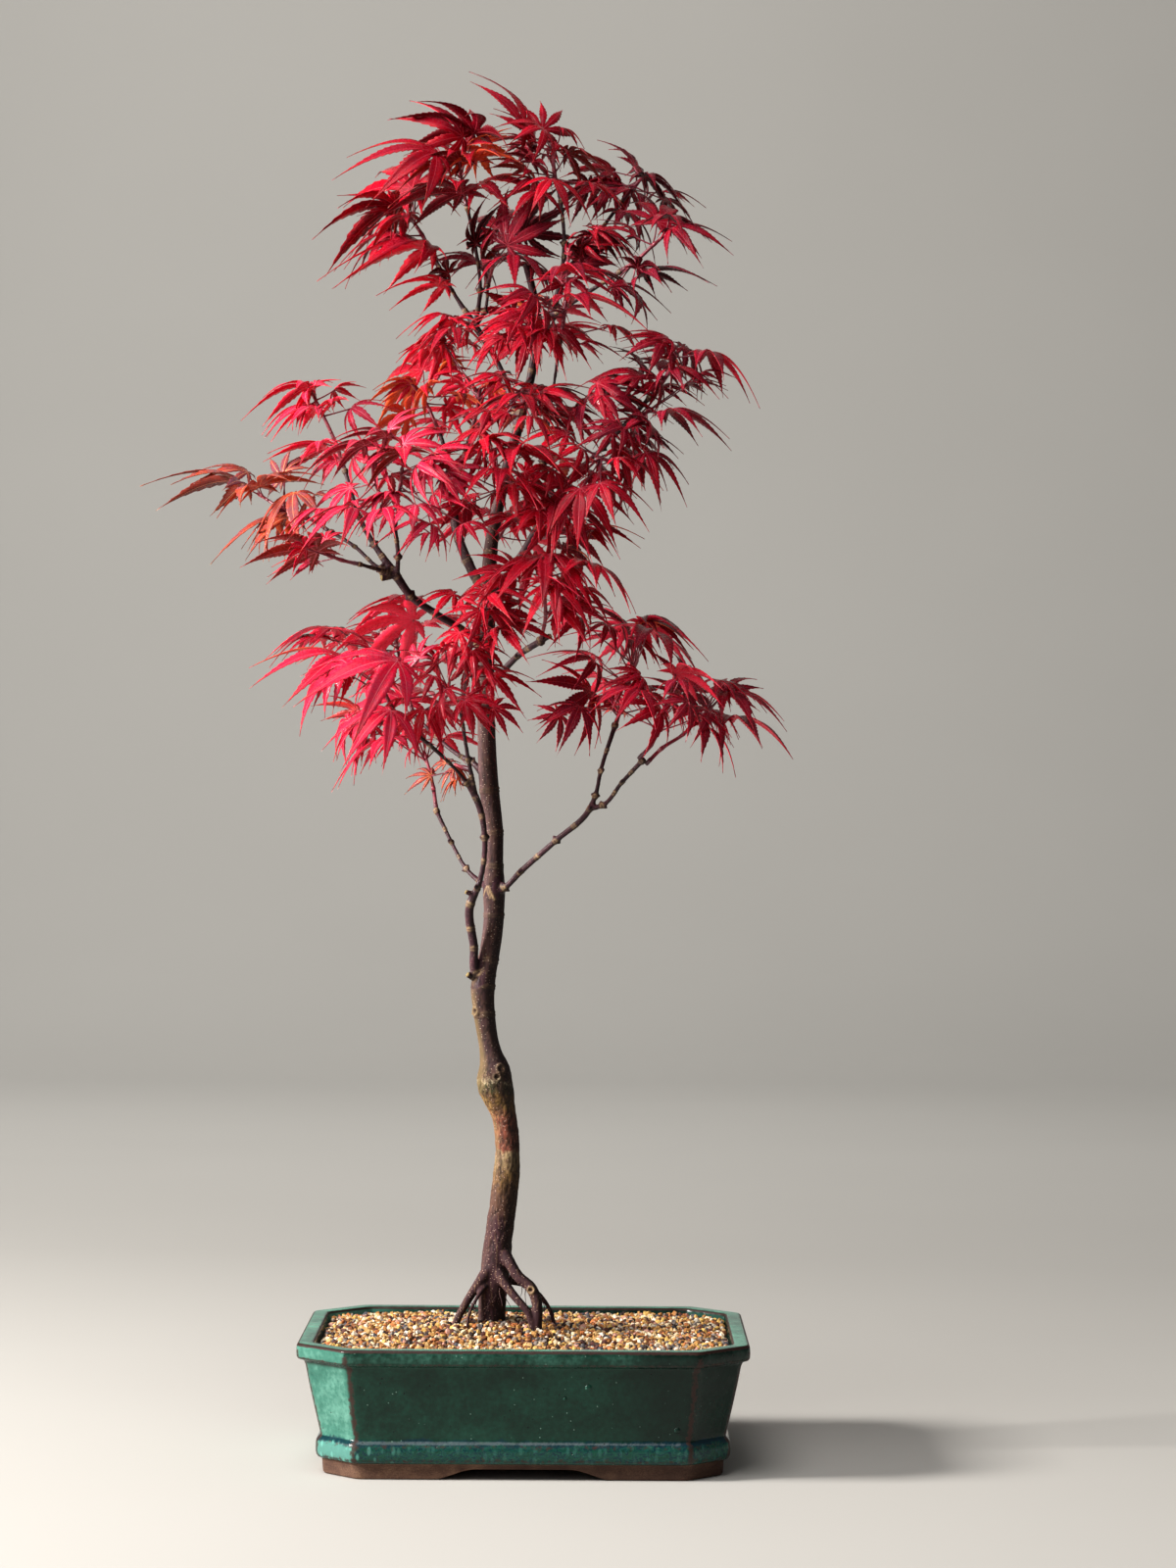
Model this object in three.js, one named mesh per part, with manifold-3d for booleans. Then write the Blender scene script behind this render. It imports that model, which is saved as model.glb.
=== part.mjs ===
// A red-leaved broom japanese maple grown as a bonsai, with its glazed pot.
// Millimetres, +Z up. The tree is set out about the pot's centre line, its front facing -Y.
import * as THREE from "three";
import { mergeVertices } from "three/addons/utils/BufferGeometryUtils.js";
import Module from "manifold-3d";

const wasm = await Module();
wasm.setup();

// The pot: a rectangle with cut corners, measured at its rim.
const RIM_LENGTH = 250;
const RIM_DEPTH = 190;
const RIM_CORNER = 28;
const POT_HEIGHT = 72.7;
const FOOT_HEIGHT = 9;
const FLOOR_UNDER = 9.6;
const FLOOR_TOP = 17;
const WALL_THICKNESS = 9.5;
const WALL_FOOT_INSET = 19.5;
const FLOOR_INSET = 24;
const LOFT_REACH = 200;
const RIM_BEVEL = 1.4;
const COVE = 5;
const ARCH_HEIGHT = 6;
const LONG_ARCH = 102;
const SHORT_ARCH = 62;
const DRAIN_HOLE = 16;
const DRAIN_AT = 56;
const MESH_SQUARE = 26;
const MESH_THICKNESS = 1.2;

// What fills it.
const SOIL_TOP = 60;
const GRIT_LEVEL = 69;
const GRIT_MOUND = 7.5;
const MOUND_REACH = 46;
const MOUND_X = -19;
const GRAIN_PITCH = 13;
const GRAIN_SHIFT = 0.55;
const GRAIN_RELIEF = 3;
const GRIT_UNDER = 10;
const SOIL_FOOT_INSET = 26;
const GAP = 0.35;

// The leaves: seven lobes, as shares of the middle lobe's length.
const LOBE_ANGLES = [-122, -80, -40, 0, 40, 80, 122];
const LOBE_LENGTHS = [0.36, 0.74, 0.94, 1, 0.94, 0.74, 0.36];
const NOTCH_REACH = [0.12, 0.15, 0.17, 0.17, 0.15, 0.12];
const WIDEST_AT = 0.45;
const LOBE_HALF_WIDTH = 0.135;
const BLADE_BACK = 0.06;
const BLADE_BACK_HALF = 0.8;
const RIB_HALF_THICKNESS = 0.5;
const STALK_RADIUS = 0.55;
const STALK_SPACING = 1.7;
const SHOOT_RADIUS = 1.2;
const THICK_BRANCH = 2.4;

// How far a leaf's start and tip are drawn from their written places, and how it is turned.
const START_SCATTER = 16;
const TIP_SCATTER = 26;
const ROLL_SPREAD = 0.9;
const LEAST_CUP = 0.45;
const CUP_SPREAD = 0.35;
const LEAN_OUT = 0.9;
const TRUNK_X = -20;

const looks = {
  glaze: { color: 0x1f5f50, roughness: 0.2 },
  bark: { color: 0x3d2a2b, roughness: 0.75 },
  soil: { color: 0x3a2b20, roughness: 0.95 },
  grit: { color: 0xb08a5e, roughness: 0.9 },
  plastic: { color: 0x20242a, roughness: 0.6 },
  crimson: { color: 0xb3122e, roughness: 0.5 },
  pink: { color: 0xe0324f, roughness: 0.5 },
  maroon: { color: 0x6e1522, roughness: 0.5 },
  orange: { color: 0xb8452a, roughness: 0.5 },
};

// Roots, trunk and older branches. Each point is [x, y, z, radius].
const roots = {
  left: [
    [-19, -3, 108, 4.5], [-25, -6, 100, 3.2], [-33, -9, 88, 2.4], [-39, -10, 76, 2.3], [-40, -10, 56, 2.2],
  ],
  left_thin: [[-21, -5, 99, 2], [-27, -13, 91, 1.2], [-31, -17, 83, 1], [-31, -18, 57, 1]],
  right_front: [
    [-14, -3, 117, 4.5], [-10, -7, 112, 3.6], [-4, -11, 103, 3.2], [4, -14, 96, 3.3], [7, -16, 87, 3.1],
    [7, -17, 76, 3], [7, -17, 56, 2.8],
  ],
  middle: [
    [-16, -5, 106, 3.6], [-11, -10, 98, 2.8], [-5, -14, 91, 2.4], [2, -17, 83, 2.2], [5, -18, 74, 2.2],
  ],
  right_back: [[-12, 1, 100, 3], [0, 5, 96, 1.8], [8, 8, 90, 1.4], [14, 10, 81, 1.3], [17, 11, 57, 1.3]],
  back: [[-18, 4, 104, 4], [-20, 11, 92, 3], [-22, 18, 80, 2.6], [-23, 20, 57, 2.4]],
};
const trunk = [
  [-19, 0, 54, 7.4], [-19, 0, 80, 7.8], [-17, 0, 107, 8.3], [-14, -1, 134, 7.8], [-11, -3, 160, 7.6],
  [-11, -4, 183, 6.8], [-13, -4, 195, 7.2], [-16, -4, 205, 9.4], [-18, -4, 212, 10.3], [-18, -4, 218, 9.4],
  [-20, -3, 227, 6.7], [-24, -1, 250, 6.1], [-25, 0, 266, 6.9], [-22, 1, 281, 5.8], [-19, 2, 306, 5.8],
  [-19, 2, 320, 6.4], [-19, 2, 334, 5.3], [-19, 3, 353, 5.1], [-22, 4, 377, 5.6], [-24, 3, 420, 5],
  [-24, 1, 460, 4.7], [-23, 0, 492, 4.6], [-22, -1, 512, 4], [-15, -2, 551, 3.3], [-7, 0, 582, 2.9],
  [1, 2, 615, 2.5], [4, 2, 642, 2.8], [2, 1, 657, 2.3], [-3, -1, 677, 2.1],
];
const branches = {
  second_stem: [
    [-24, 0, 269, 3.3], [-29, -3, 274, 2.8], [-30, -5, 288, 2.5], [-32, -10, 313, 2.6],
    [-28, -12, 322, 1.9], [-24, -16, 350, 1.7], [-29, -20, 373, 2.1], [-34, -24, 381, 1.4],
    [-54, -42, 402, 1.3], [-68, -50, 413, 1.2],
  ],
  second_stem_right: [[-29, -20, 373, 1.7], [-33, -28, 394, 1.3], [-38, -40, 427, 1.2]],
  low_left: [[-23, 4, 383, 2.8], [-32, 12, 393, 1.7], [-38, 18, 396, 1.5], [-67, 50, 420, 1.2]],
  lowest_left: [[-19, 0, 319, 2.2], [-35, 14, 332, 1.3], [-44, 24, 347, 1.2], [-53, 32, 365, 1.4]],
  low_right: [
    [-19, 0, 319, 2.8], [-13, -3, 322, 1.9], [-4, -8, 331, 1.8], [16, -20, 349, 1.7], [35, -28, 367, 1.8],
    [38, -28, 374, 1.4], [41, -26, 388, 1.3], [49, -18, 414, 1.5],
  ],
  low_right_out: [[35, -28, 367, 1.6], [42, -30, 369, 1.4], [53, -36, 382, 1.3], [64, -42, 394, 1.5]],
  middle_right: [[-22, 2, 437, 2.8], [-16, -3, 443, 2.2], [-6, -12, 453, 1.9], [7, -26, 461, 2]],
  left: [
    [-24, 1, 454, 3.1], [-29, -3, 461, 2.5], [-53, -14, 477, 2.2], [-66, -18, 486, 2.3],
    [-74, -22, 497, 2.6], [-87, -16, 515, 1.7], [-96, -6, 531, 1.6], [-105, 6, 558, 1.3],
  ],
  left_low_twig: [[-74, -22, 497, 1.9], [-79, -24, 499, 1.6], [-94, -34, 503, 1.1]],
  left_far_twig: [[-74, -22, 497, 1.9], [-83, -23, 501, 1.4], [-98, -14, 514, 1.2], [-112, -1, 523, 1.2]],
  left_near_twig: [[-74, -22, 497, 1.8], [-73, -28, 507, 1.4], [-75, -36, 526, 1.5]],
  upper_left: [
    [-23, 0, 490, 3.6], [-29, 5, 496, 3.1], [-35, 12, 507, 2.9], [-44, 30, 540, 2.5], [-42, 36, 556, 1.7],
    [-34, 43, 586, 1.3],
  ],
  upper_left_far: [[-44, 30, 540, 2], [-49, 40, 572, 1.4], [-53, 44, 584, 1.3]],
  upper_right: [
    [-23, 0, 489, 3.3], [-15, -3, 495, 2.8], [-6, -8, 507, 2.6], [14, -24, 540, 2.2], [22, -29, 551, 1.6],
    [41, -40, 568, 1.4], [67, -54, 595, 1.4],
  ],
  upper_right_up: [[14, -24, 540, 1.9], [8, -20, 562, 1.8], [10, -24, 577, 1.2], [17, -38, 627, 1.1]],
  crown_left: [
    [-7, 0, 583, 2.5], [-11, 7, 601, 2.1], [-22, 16, 627, 1.8], [-32, 22, 643, 2.1], [-45, 26, 663, 1.2],
    [-58, 28, 687, 1.2],
  ],
  crown_left_up: [[-32, 22, 643, 1.7], [-29, 14, 662, 1.3], [-32, 6, 688, 1.2], [-36, -1, 707, 1.2]],
  crown_left_back: [[-32, 22, 643, 1.7], [-27, 25, 651, 1.2], [-25, 33, 668, 1.1]],
  crown_right: [
    [4, 2, 641, 2.5], [11, -6, 645, 2.1], [14, -10, 653, 1.9], [18, -12, 668, 1.9], [19, -8, 686, 1.3],
    [17, -2, 711, 1.2],
  ],
  crown_right_near: [[11, -6, 645, 1.7], [32, -28, 656, 1.4], [50, -42, 666, 1.2]],
  crown_right_back: [[18, -12, 668, 1.7], [34, 8, 689, 1.3], [51, 29, 715, 1.2]],
};
const stubs = {
  at_fork: [[-25, 0, 268, 2.2], [-34, -6, 273, 1.6]],
  at_ring: [[-29, -11, 318, 1.7], [-35, -13, 320, 1.4]],
  left_knuckle: [[-75, -22, 498, 2], [-83, -24, 496, 2.2]],
  left_cut: [[-96, -6, 531, 1.4], [-105, -14, 547, 1.2]],
  right_cut: [[6, -26, 461, 1.9], [13, -29, 464, 1.6]],
};

// Leafy shoots. Each has the points of its stem, and its leaves as [stem point that the stalk grows
// from, blade start x, y, z, tip of the middle lobe x, y, z].
const sprays = [
  {
    name: "top",
    look: "crimson",
    seed: 86,
    stem: [[17, -2, 711], [13, 2, 729], [12, 6, 743]],
    leaves: [
      [2, -5, 6, 752, -15, 40, 774], [2, 7, -12, 749, -13, -32, 738], [2, 17, 12, 754, 30, 2, 743],
      [1, 20, 2, 740, 46, -10, 724], [1, -4, -6, 727, -21, -40, 725], [1, 12, -30, 718, 21, -54, 691],
      [1, 4, -20, 714, -11, -42, 695],
    ],
  },
  {
    name: "top_left",
    look: "crimson",
    seed: 22,
    stem: [[-36, -1, 707], [-39, -6, 719], [-40, -8, 726]],
    leaves: [
      [2, -32, -12, 748, -63, -46, 760], [2, -53, -26, 733, -109, -34, 719],
      [1, -39, -20, 713, -76, -52, 701], [2, -29, 20, 746, -7, 56, 741],
    ],
  },
  {
    name: "upper_left",
    look: "crimson",
    seed: 41,
    stem: [[-58, 28, 687], [-63, 28, 696], [-70, 27, 706]],
    leaves: [
      [2, -78, 20, 712, -124, 4, 691], [1, -57, 0, 685, -119, -16, 664], [1, -49, 16, 665, -87, 0, 659],
      [2, -69, 42, 723, -93, 84, 740], [2, -69, -4, 702, -103, -20, 677],
    ],
  },
  {
    name: "top_dark",
    look: "maroon",
    seed: 126,
    stem: [[-25, 33, 668], [-22, 22, 677], [-18, 4, 681]],
    leaves: [
      [2, -13, -16, 684, 7, -14, 717], [2, -9, -22, 677, -10, -44, 652],
      [1, -32, 46, 681, -51, 84, 680], [1, -16, 44, 698, -12, 86, 719],
    ],
  },
  {
    name: "upper_right",
    look: "maroon",
    seed: 145,
    stem: [[51, 29, 715], [60, 38, 727], [65, 42, 733]],
    leaves: [
      [2, 65, 30, 730, 86, 4, 711], [1, 43, 14, 721, 33, -16, 697], [2, 59, 60, 741, 57, 100, 741],
      [1, 53, 8, 706, 62, -20, 681], [1, 73, 62, 726, 94, 92, 721],
    ],
  },
  {
    name: "right_tip",
    look: "maroon",
    seed: 7,
    stem: [[50, -42, 666], [60, -49, 672], [69, -52, 680], [76, -52, 686]],
    leaves: [
      [3, 79, -52, 688, 112, -62, 672], [1, 64, -56, 662, 96, -78, 656], [2, 71, -26, 695, 84, 4, 707],
      [1, 49, -30, 660, 78, -34, 646],
    ],
  },
  {
    name: "above_junction",
    look: "crimson",
    seed: 143,
    stem: [[18, -12, 668], [25, -26, 681], [32, -34, 684]],
    leaves: [
      [2, 34, -40, 687, 56, -62, 673], [1, 30, -20, 677, 46, 8, 688],
    ],
  },
  {
    name: "thin_stem",
    look: "maroon",
    seed: 155,
    stem: [[17, -38, 627], [20, -42, 646], [21, -46, 659]],
    leaves: [
      [2, 21, -50, 666, 34, -86, 651], [1, 2, -62, 651, -21, -86, 641], [1, 23, -68, 649, 63, -90, 631],
      [2, 29, -30, 673, 46, -30, 683],
    ],
  },
  {
    name: "mid_umbrella",
    look: "crimson",
    seed: 135,
    stem: [[3, 2, 630], [6, -22, 631], [7, -34, 632]],
    leaves: [
      [2, 5, -46, 633, 4, -76, 604], [1, -21, -26, 625, -30, -40, 607],
      [2, -8, -56, 634, -29, -74, 623], [1, 45, -34, 636, 66, -48, 620],
    ],
  },
  {
    name: "right_high",
    look: "maroon",
    seed: 66,
    stem: [[67, -54, 595], [77, -58, 608], [80, -60, 618]],
    leaves: [
      [2, 97, -66, 618, 126, -78, 588], [2, 79, -62, 623, 52, -70, 628],
      [1, 78, -66, 609, 104, -84, 591], [1, 71, -30, 616, 84, 8, 612],
    ],
  },
  {
    name: "right_mid",
    look: "maroon",
    seed: 60,
    stem: [[55, -49, 582], [62, -62, 584], [66, -70, 586]],
    leaves: [
      [2, 76, -74, 585, 109, -86, 570], [1, 61, -58, 573, 85, -74, 563],
      [1, 33, -54, 596, 78, -76, 580], [1, 74, -24, 604, 94, 2, 602], [1, 52, -84, 575, 34, -100, 564],
    ],
  },
  {
    name: "right_inner",
    look: "crimson",
    seed: 110,
    stem: [[36, -38, 565], [41, -54, 561], [46, -64, 559]],
    leaves: [
      [2, 65, -62, 563, 88, -78, 535], [2, 49, -80, 559, 74, -100, 542],
      [1, 40, -88, 545, 67, -100, 519], [1, 29, -66, 543, 50, -80, 509], [1, 56, -20, 574, 76, 12, 565],
      [1, 33, -50, 556, 17, -66, 542],
    ],
  },
  {
    name: "right_low",
    look: "crimson",
    seed: 92,
    stem: [[4, -16, 521], [10, -36, 519], [15, -46, 523]],
    leaves: [
      [2, 23, -58, 533, 34, -84, 502], [2, 36, -50, 522, 62, -70, 512], [1, 6, -60, 532, -9, -86, 514],
      [1, 23, -8, 521, 46, 20, 520],
    ],
  },
  {
    name: "centre",
    look: "crimson",
    seed: 142,
    stem: [[-17, -2, 544], [-16, -34, 546], [-16, -56, 550]],
    leaves: [
      [2, -15, -72, 553, -14, -110, 533], [2, -27, -50, 566, -50, -62, 549],
      [1, -4, -66, 563, 19, -98, 550], [1, -34, -44, 537, -51, -62, 520],
      [2, -4, -40, 549, 12, -40, 532],
    ],
  },
  {
    name: "centre_top",
    look: "crimson",
    seed: 117,
    stem: [[0, 2, 611], [-3, -28, 603], [-4, -44, 598]],
    leaves: [
      [2, -4, -58, 595, -17, -96, 581], [2, 6, -52, 597, 34, -78, 589],
      [1, -15, -46, 607, -38, -64, 598], [1, 15, -8, 591, 37, 20, 585], [2, 1, -74, 582, 14, -96, 560],
      [1, -22, -36, 589, -41, -54, 577],
    ],
  },
  {
    name: "umbrella",
    look: "crimson",
    seed: 64,
    stem: [[7, -26, 461], [10, -48, 476], [9, -58, 489], [9, -60, 499]],
    leaves: [
      [3, 9, -68, 506, 11, -98, 474], [3, -7, -54, 499, -41, -62, 495],
      [2, 14, -84, 489, 19, -106, 457], [3, 34, -58, 503, 57, -72, 475], [1, 23, -30, 479, 15, 6, 467],
    ],
  },
  {
    name: "right_crest",
    look: "maroon",
    seed: 111,
    stem: [[49, -18, 414], [53, -14, 425], [57, -9, 439], [61, -5, 450]],
    leaves: [
      [3, 63, -12, 472, 101, -26, 453], [2, 37, -20, 450, 6, -32, 442], [3, 67, -40, 467, 82, -64, 444],
      [1, 29, -40, 424, 17, -58, 397], [1, 44, -30, 431, 62, -52, 422], [3, 56, 26, 465, 43, 68, 465],
      [3, 53, -8, 470, 33, 4, 457], [1, 35, -26, 433, 6, -38, 412],
    ],
  },
  {
    name: "right_inner_low",
    look: "maroon",
    seed: 137,
    stem: [[62, -43, 395], [69, -45, 403], [73, -48, 411], [75, -50, 420]],
    leaves: [
      [3, 82, -62, 442, 107, -78, 435], [3, 62, -76, 433, 49, -96, 414],
      [2, 88, -78, 426, 76, -110, 411], [3, 88, -16, 433, 100, 20, 437],
    ],
  },
  {
    name: "right_tip_low",
    look: "maroon",
    seed: 80,
    stem: [[66, -41, 392], [75, -40, 401], [87, -36, 409], [94, -33, 416], [101, -30, 423]],
    leaves: [
      [4, 111, -32, 434, 145, -42, 413], [4, 116, -24, 419, 149, -32, 396],
      [3, 98, -48, 414, 110, -62, 389], [4, 111, 6, 433, 129, 42, 443],
    ],
  },
  {
    name: "trunk_front",
    look: "crimson",
    seed: 9,
    stem: [[-36, -37, 428], [-34, -52, 441], [-31, -60, 457], [-30, -62, 467]],
    leaves: [
      [3, -26, -74, 475, -46, -100, 461], [3, -20, -72, 484, 10, -96, 476],
      [2, -14, -60, 468, 0, -80, 447], [1, -19, -44, 441, -1, -46, 417],
      [3, -41, -50, 486, -63, -64, 477], [2, -37, -66, 464, -43, -72, 439],
    ],
  },
  {
    name: "left_low_back",
    look: "maroon",
    seed: 137,
    stem: [[-67, 50, 420], [-72, 54, 435], [-75, 56, 449], [-78, 56, 464]],
    leaves: [
      [3, -68, 34, 486, -104, 18, 474], [3, -66, 8, 474, -114, -4, 455],
      [2, -111, 32, 470, -152, 20, 453], [3, -62, 72, 473, -42, 104, 469],
      [2, -58, 66, 452, -52, 102, 439],
    ],
  },
  {
    name: "left_low_front",
    look: "pink",
    seed: 141,
    stem: [[-68, -50, 413], [-75, -60, 424], [-80, -66, 435]],
    leaves: [
      [2, -101, -66, 450, -151, -76, 436], [2, -70, -96, 447, -123, -108, 421],
      [1, -73, -92, 420, -99, -106, 388], [1, -75, -72, 405, -103, -84, 379],
      [2, -87, -40, 455, -113, -46, 468],
    ],
  },
  {
    name: "left_low_centre",
    look: "crimson",
    seed: 84,
    stem: [[-40, -43, 426], [-43, -58, 432], [-46, -70, 434]],
    leaves: [
      [2, -44, -88, 432, -44, -104, 412], [1, -33, -86, 426, -15, -104, 409],
      [1, -57, -64, 421, -62, -80, 389], [1, -50, -58, 448, -69, -62, 454],
    ],
  },
  {
    name: "left_under",
    look: "orange",
    seed: 36,
    stem: [[-32, -26, 389], [-36, -24, 390], [-40, -20, 391]],
    leaves: [
      [2, -42, -18, 389, -41, -30, 375], [2, -55, -4, 385, -70, 12, 383],
    ],
  },
  {
    name: "left_low_inner",
    look: "pink",
    seed: 62,
    stem: [[-53, 32, 365], [-55, 34, 378], [-57, 36, 387], [-60, 38, 397]],
    leaves: [
      [3, -71, 30, 408, -95, 40, 397], [3, -55, 62, 422, -38, 94, 415],
      [3, -74, 74, 429, -87, 112, 437],
    ],
  },
  {
    name: "far_left",
    look: "orange",
    seed: 15,
    stem: [[-114, 0, 524], [-127, 10, 532], [-141, 14, 537], [-154, 18, 545]],
    leaves: [
      [3, -164, 20, 551, -220, 12, 551], [1, -132, -14, 544, -149, -26, 505],
      [2, -141, 16, 554, -149, 42, 569], [1, -136, 2, 531, -180, -8, 506],
    ],
  },
  {
    name: "far_left_low",
    look: "pink",
    seed: 3,
    stem: [[-94, -34, 503], [-104, -40, 505], [-110, -44, 507]],
    leaves: [
      [2, -117, -50, 509, -147, -72, 513], [2, -121, -26, 504, -145, -8, 502],
    ],
  },
  {
    name: "left_tall",
    look: "pink",
    seed: 134,
    stem: [[-105, 6, 558], [-111, 10, 575], [-119, 14, 592], [-124, 16, 602]],
    leaves: [
      [3, -127, 16, 607, -164, 4, 588], [2, -120, -8, 593, -149, -24, 577],
      [1, -115, 14, 571, -151, 0, 564], [3, -113, 28, 607, -99, 58, 603],
      [1, -99, -10, 566, -77, -34, 555],
    ],
  },
  {
    name: "left_lower",
    look: "pink",
    seed: 140,
    stem: [[-77, -35, 528], [-82, -39, 540], [-86, -40, 550], [-87, -42, 559]],
    leaves: [
      [1, -94, -74, 531, -125, -98, 505], [2, -100, -30, 546, -124, -14, 530],
      [3, -90, -56, 567, -118, -74, 556], [3, -79, -52, 573, -108, -60, 570],
      [3, -78, -14, 580, -64, 24, 590],
    ],
  },
  {
    name: "left_front",
    look: "pink",
    seed: 23,
    stem: [[-74, -39, 527], [-73, -42, 537], [-71, -47, 546], [-70, -52, 554]],
    leaves: [
      [2, -77, -92, 530, -87, -112, 509], [1, -53, -78, 523, -71, -94, 503],
      [3, -67, -72, 563, -92, -92, 545], [3, -60, -86, 555, -39, -110, 541],
      [2, -52, -56, 542, -31, -80, 531],
    ],
  },
  {
    name: "left_back_tall",
    look: "crimson",
    seed: 92,
    stem: [[-34, 43, 586], [-31, 45, 598], [-30, 47, 608]],
    leaves: [
      [2, -50, 40, 634, -74, 34, 617], [2, -38, 52, 618, -60, 74, 606],
      [1, -43, 78, 597, -54, 112, 590], [2, -22, 30, 609, -5, 14, 591],
    ],
  },
  {
    name: "left_back",
    look: "crimson",
    seed: 82,
    stem: [[-53, 44, 584], [-59, 48, 597], [-64, 51, 607]],
    leaves: [
      [2, -70, 48, 613, -98, 36, 597], [2, -58, 22, 608, -67, -12, 587], [1, -70, 22, 592, -93, 6, 577],
      [2, -64, 78, 623, -75, 118, 633],
    ],
  },
  {
    name: "junction",
    look: "crimson",
    seed: 103,
    stem: [[-32, 22, 643], [-38, 14, 644], [-42, 10, 646]],
    leaves: [
      [2, -47, 6, 647, -76, -8, 634], [1, -42, -14, 636, -56, -36, 617],
      [1, -37, 44, 636, -53, 78, 634],
    ],
  },
  {
    name: "back_crown",
    look: "maroon",
    seed: 66,
    stem: [[4, 3, 638], [8, 26, 639], [10, 44, 645]],
    leaves: [
      [2, 15, 56, 653, 40, 84, 652], [2, 0, 64, 654, -13, 104, 654], [1, 27, 40, 634, 53, 56, 628],
    ],
  },
  {
    name: "back_middle",
    look: "maroon",
    seed: 63,
    stem: [[-21, -1, 516], [-17, 24, 523], [-15, 44, 529]],
    leaves: [
      [2, -12, 58, 540, 11, 88, 531], [2, -26, 66, 539, -42, 104, 532], [1, 0, 44, 522, 26, 60, 515],
    ],
  },
];


const X_AXIS = new THREE.Vector3(1, 0, 0);
const Z_AXIS = new THREE.Vector3(0, 0, 1);
const vec = (p) => new THREE.Vector3(p[0], p[1], p[2]);

// A small seeded source of draws between 0 and 1.
function seeded(seed) {
  let state = seed >>> 0;
  return () => {
    state = (state + 0x6d2b79f5) >>> 0;
    let t = Math.imul(state ^ (state >>> 15), state | 1);
    t ^= t + Math.imul(t ^ (t >>> 7), t | 61);
    return ((t ^ (t >>> 14)) >>> 0) / 4294967296;
  };
}

function solidOf(geometry) {
  const bare = geometry.index ? geometry.toNonIndexed() : geometry.clone();
  bare.deleteAttribute("normal");
  bare.deleteAttribute("uv");
  const merged = mergeVertices(bare, 1e-3);
  return new wasm.Manifold(
    new wasm.Mesh({
      numProp: 3,
      vertProperties: merged.attributes.position.array,
      triVerts: new Uint32Array(merged.index.array),
    }),
  );
}

function geometryOf(solid) {
  const mesh = solid.getMesh();
  const geometry = new THREE.BufferGeometry();
  geometry.setAttribute("position", new THREE.BufferAttribute(mesh.vertProperties, 3));
  geometry.setIndex(new THREE.BufferAttribute(mesh.triVerts, 1));
  return geometry;
}

const larger = (one, other) => (other.volume() > one.volume() ? other : one);
const largest = (solid) => solid.decompose().reduce(larger);
const joined = (solids) => solids.reduce((all, next) => all.add(next));

// A tapering limb through its points: a closed cylinder bent along them, radius by radius.
function limb(points, sides, extra = 0) {
  const steps = points.length - 1;
  const centres = points.map(vec);
  const tangents = centres.map((_, i) =>
    centres[Math.min(i + 1, steps)].clone().sub(centres[Math.max(i - 1, 0)]).normalize(),
  );
  const across = [];
  let side = new THREE.Vector3().crossVectors(tangents[0], X_AXIS);
  if (side.length() < 0.2) side = new THREE.Vector3().crossVectors(tangents[0], Z_AXIS);
  for (const tangent of tangents) {
    side = side.clone().addScaledVector(tangent, -side.dot(tangent)).normalize();
    across.push(side);
  }
  centres[0].addScaledVector(tangents[0], -extra);
  centres[steps].addScaledVector(tangents[steps], extra);
  const shape = new THREE.CylinderGeometry(1, 1, 1, sides, steps);
  const position = shape.attributes.position;
  const place = new THREE.Vector3();
  for (let i = 0; i < position.count; i++) {
    const k = Math.round((position.getY(i) + 0.5) * steps);
    const radius = points[k][3] + extra;
    const u = across[k];
    const v = new THREE.Vector3().crossVectors(u, tangents[k]);
    place.copy(centres[k]);
    place.addScaledVector(u, position.getX(i) * radius);
    place.addScaledVector(v, position.getZ(i) * radius);
    position.setXYZ(i, place.x, place.y, place.z);
  }
  return solidOf(shape);
}

// The frame of a leaf: where its blade starts, its forward, side and face directions, and its cup.
function leafFrame(row, rand) {
  const [, bx, by, bz, tx, ty, tz] = row;
  const base = new THREE.Vector3(bx, by + START_SCATTER * (rand() - 0.5), bz);
  const tip = new THREE.Vector3(tx, ty + TIP_SCATTER * (rand() - 0.5), tz);
  const roll = ROLL_SPREAD * (rand() - 0.5);
  const cup = LEAST_CUP + CUP_SPREAD * rand();
  const lengths = LOBE_LENGTHS.map((share) => share * (share === 1 ? 1 : 0.9 + 0.2 * rand()));
  const forward = tip.clone().sub(base);
  const length = forward.length();
  forward.normalize();
  const outward = new THREE.Vector3(bx - TRUNK_X, by, 0).normalize();
  const face = Z_AXIS.clone().addScaledVector(outward, LEAN_OUT);
  face.addScaledVector(forward, -face.dot(forward)).normalize();
  face.applyAxisAngle(forward, roll);
  const side = new THREE.Vector3().crossVectors(face, forward);
  const flatForward = forward.clone().multiplyScalar(Math.cos(cup)).addScaledVector(face, Math.sin(cup));
  const flatFace = face.clone().multiplyScalar(Math.cos(cup)).addScaledVector(forward, -Math.sin(cup));
  return { base, length, lengths, cup, side, forward: flatForward, face: flatFace };
}

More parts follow.
